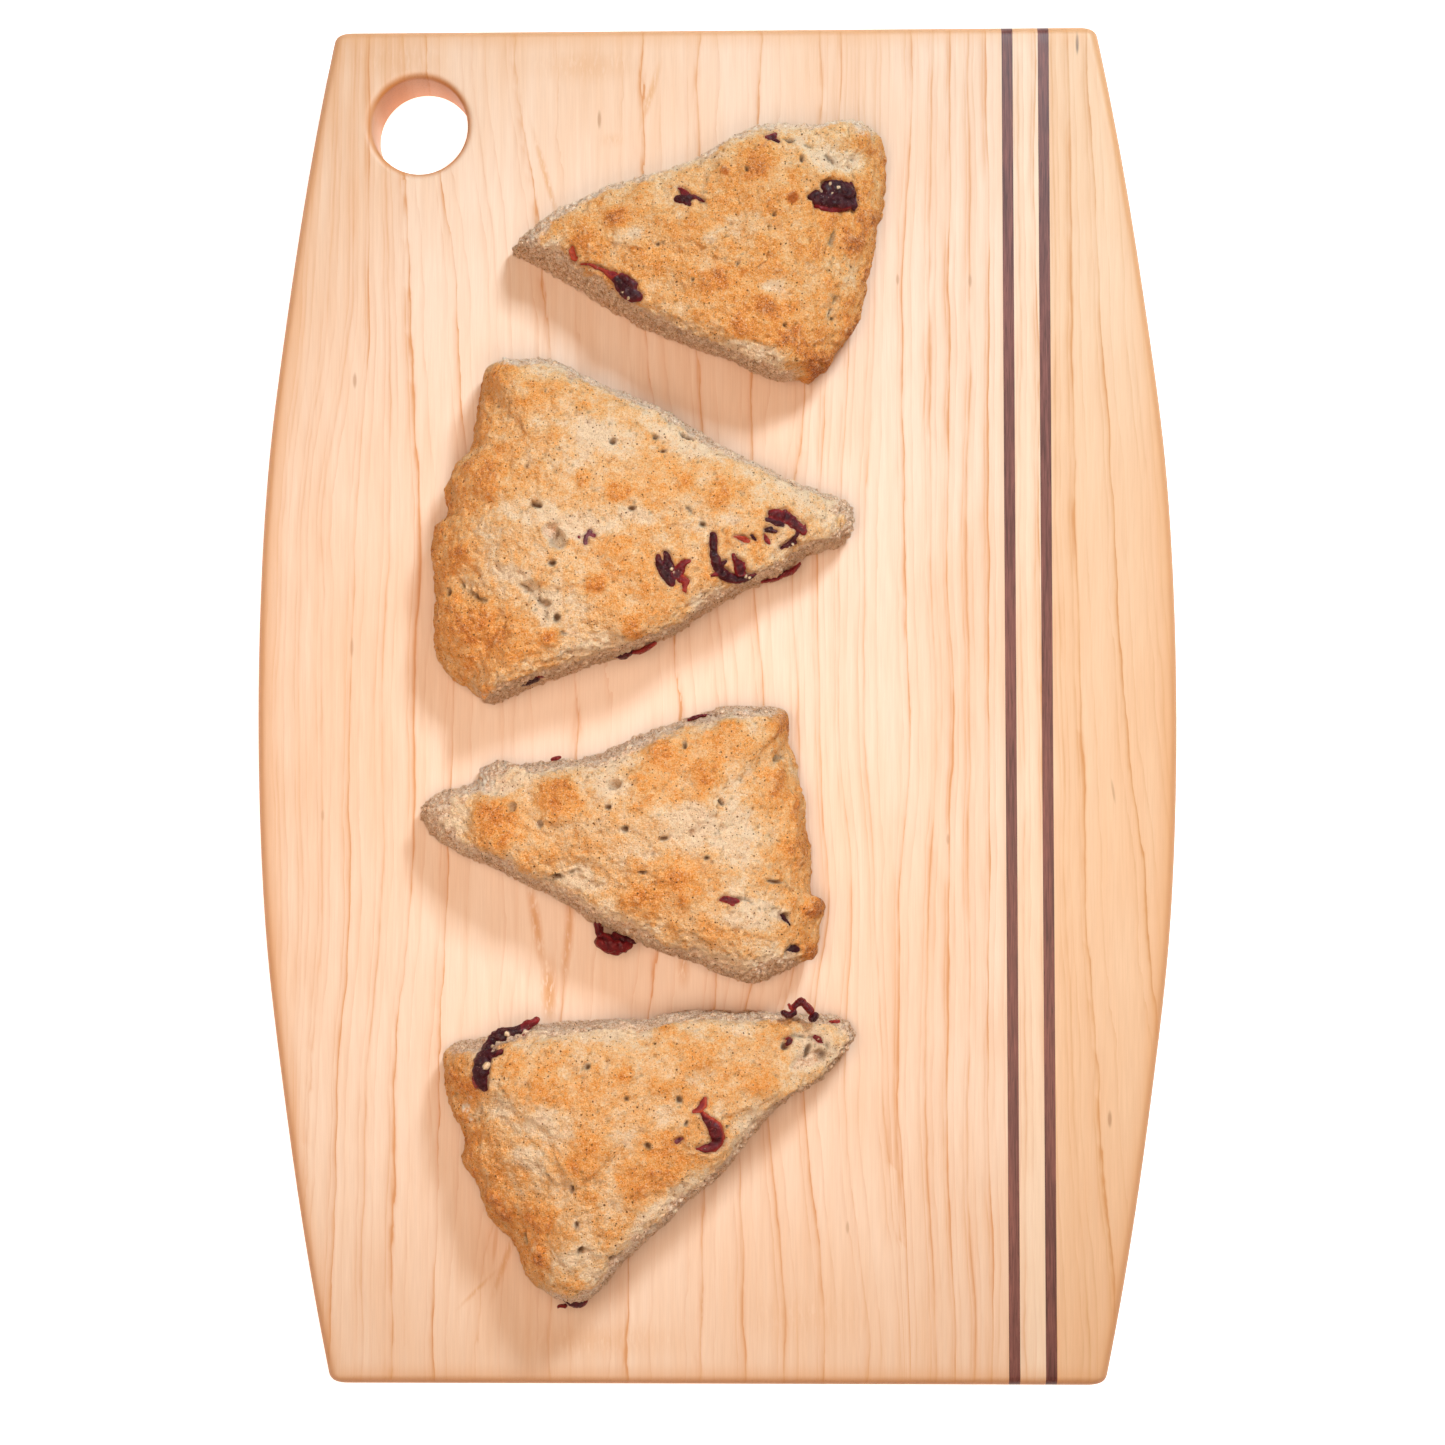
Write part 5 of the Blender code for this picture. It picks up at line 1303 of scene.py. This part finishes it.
        strokes=[(0.6, [(29.5, -83.0, 0.33), (30.8, -83.0, 0.66), (31.5, -82.8, 0.46)])]),
    "scone_4_cranberry_7": dict(nudge=(0.4, -2.2), stay=True, z=7.5, rim=0.2, hv=2.0, crumbs=[(-36.8, -153.1, 0.21), (-39.1, -152.9, 0.42)], 
        strokes=[(0.35, [(-40.7, -153.7, 0.42), (-39.1, -153.7, 0.57)]),
                 (0.3, [(-39.4, -151.6, 0.52), (-37.8, -152.3, 1.09), (-36.3, -152.9, 1.20), (-34.8, -152.8, 0.94), (-33.7, -152.1, 0.42)])]),
    "scone_4_cranberry_8": dict(z=None, bloom=0.45, rim=0.3, 
        strokes=[(0.3, [(-9.3, -111.4, 0.76), (-8.1, -110.7, 0.56)])]),
}


CRUMB_MAT = crumb_material()
BERRY_MAT = berry_material()

for index, (scone_name, spec) in enumerate(SCONES.items(), 1):
    spec["berries"] = [b for node, b in BERRIES.items() if node.startswith(scone_name)]
    made = build_scone(scone_name + "_baked_crumb", spec, 100 * index)
    made.obj.data.materials.clear()
    made.obj.data.materials.append(CRUMB_MAT)
    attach(made.obj, scone_name)
    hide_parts(scone_name + "_crumb")
    for number, entry in enumerate(spec["berries"], 1):
        node = "%s_cranberry_%d" % (scone_name, number)
        berry = build_berry(node.replace("cranberry", "dried_cranberry"), entry, made, 100 * index + 7 * number)
        berry.data.materials.clear()
        berry.data.materials.append(BERRY_MAT)
        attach(berry, scone_name)
        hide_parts(node)


# =====================================================================
# Floor and light
# =====================================================================
floor_mesh = mesh_from("floor", np.array([(-6, -6, 0), (6, -6, 0), (6, 6, 0), (-6, 6, 0)], float), [(0, 1, 2, 3)])
floor = link(floor_mesh, "floor")
fn = Nodes("floor_white")
floor.data.materials.append(fn.finish(Base__Color=(0.94, 0.94, 0.94), Roughness=0.9, Specular__IOR__Level=0.1,
                                      Emission__Color=(1.0, 1.0, 1.0), Emission__Strength=0.74))


def area(name, place, aim, size, power, colour=(1.0, 1.0, 1.0), spread=180.0):
    data = bpy.data.lights.new(name, "AREA")
    data.shape = "RECTANGLE"
    data.size, data.size_y = size
    data.energy = power
    data.color = colour
    data.spread = math.radians(spread)
    obj = bpy.data.objects.new(name, data)
    bpy.context.scene.collection.objects.link(obj)
    obj.location = place
    direction = Vector(aim) - Vector(place)
    obj.rotation_euler = direction.to_track_quat("-Z", "Y").to_euler()
    return obj


area("key", (0.30, 0.52, 0.64), (0.0, 0.03, 0.03), (0.17, 0.17), 6.3, (0.70, 0.90, 1.0))
area("fill", (-0.06, -0.09, 0.50), (-0.04, -0.05, 0.0), (0.35, 0.30), 0.47, (1.0, 0.79, 0.61), spread=110)
area("overhead", (-0.03, -0.02, 0.62), (-0.02, -0.01, 0.0), (0.40, 0.24), 0.40, (1.0, 0.79, 0.62), spread=90)

world = bpy.data.worlds.new("studio")
world.use_nodes = True
world.node_tree.nodes["Background"].inputs["Color"].default_value = (1.0, 0.66, 0.40, 1.0)
world.node_tree.nodes["Background"].inputs["Strength"].default_value = 0.17
bpy.context.scene.world = world
bpy.context.scene.view_settings.view_transform = "Standard"
bpy.context.scene.view_settings.look = "None"
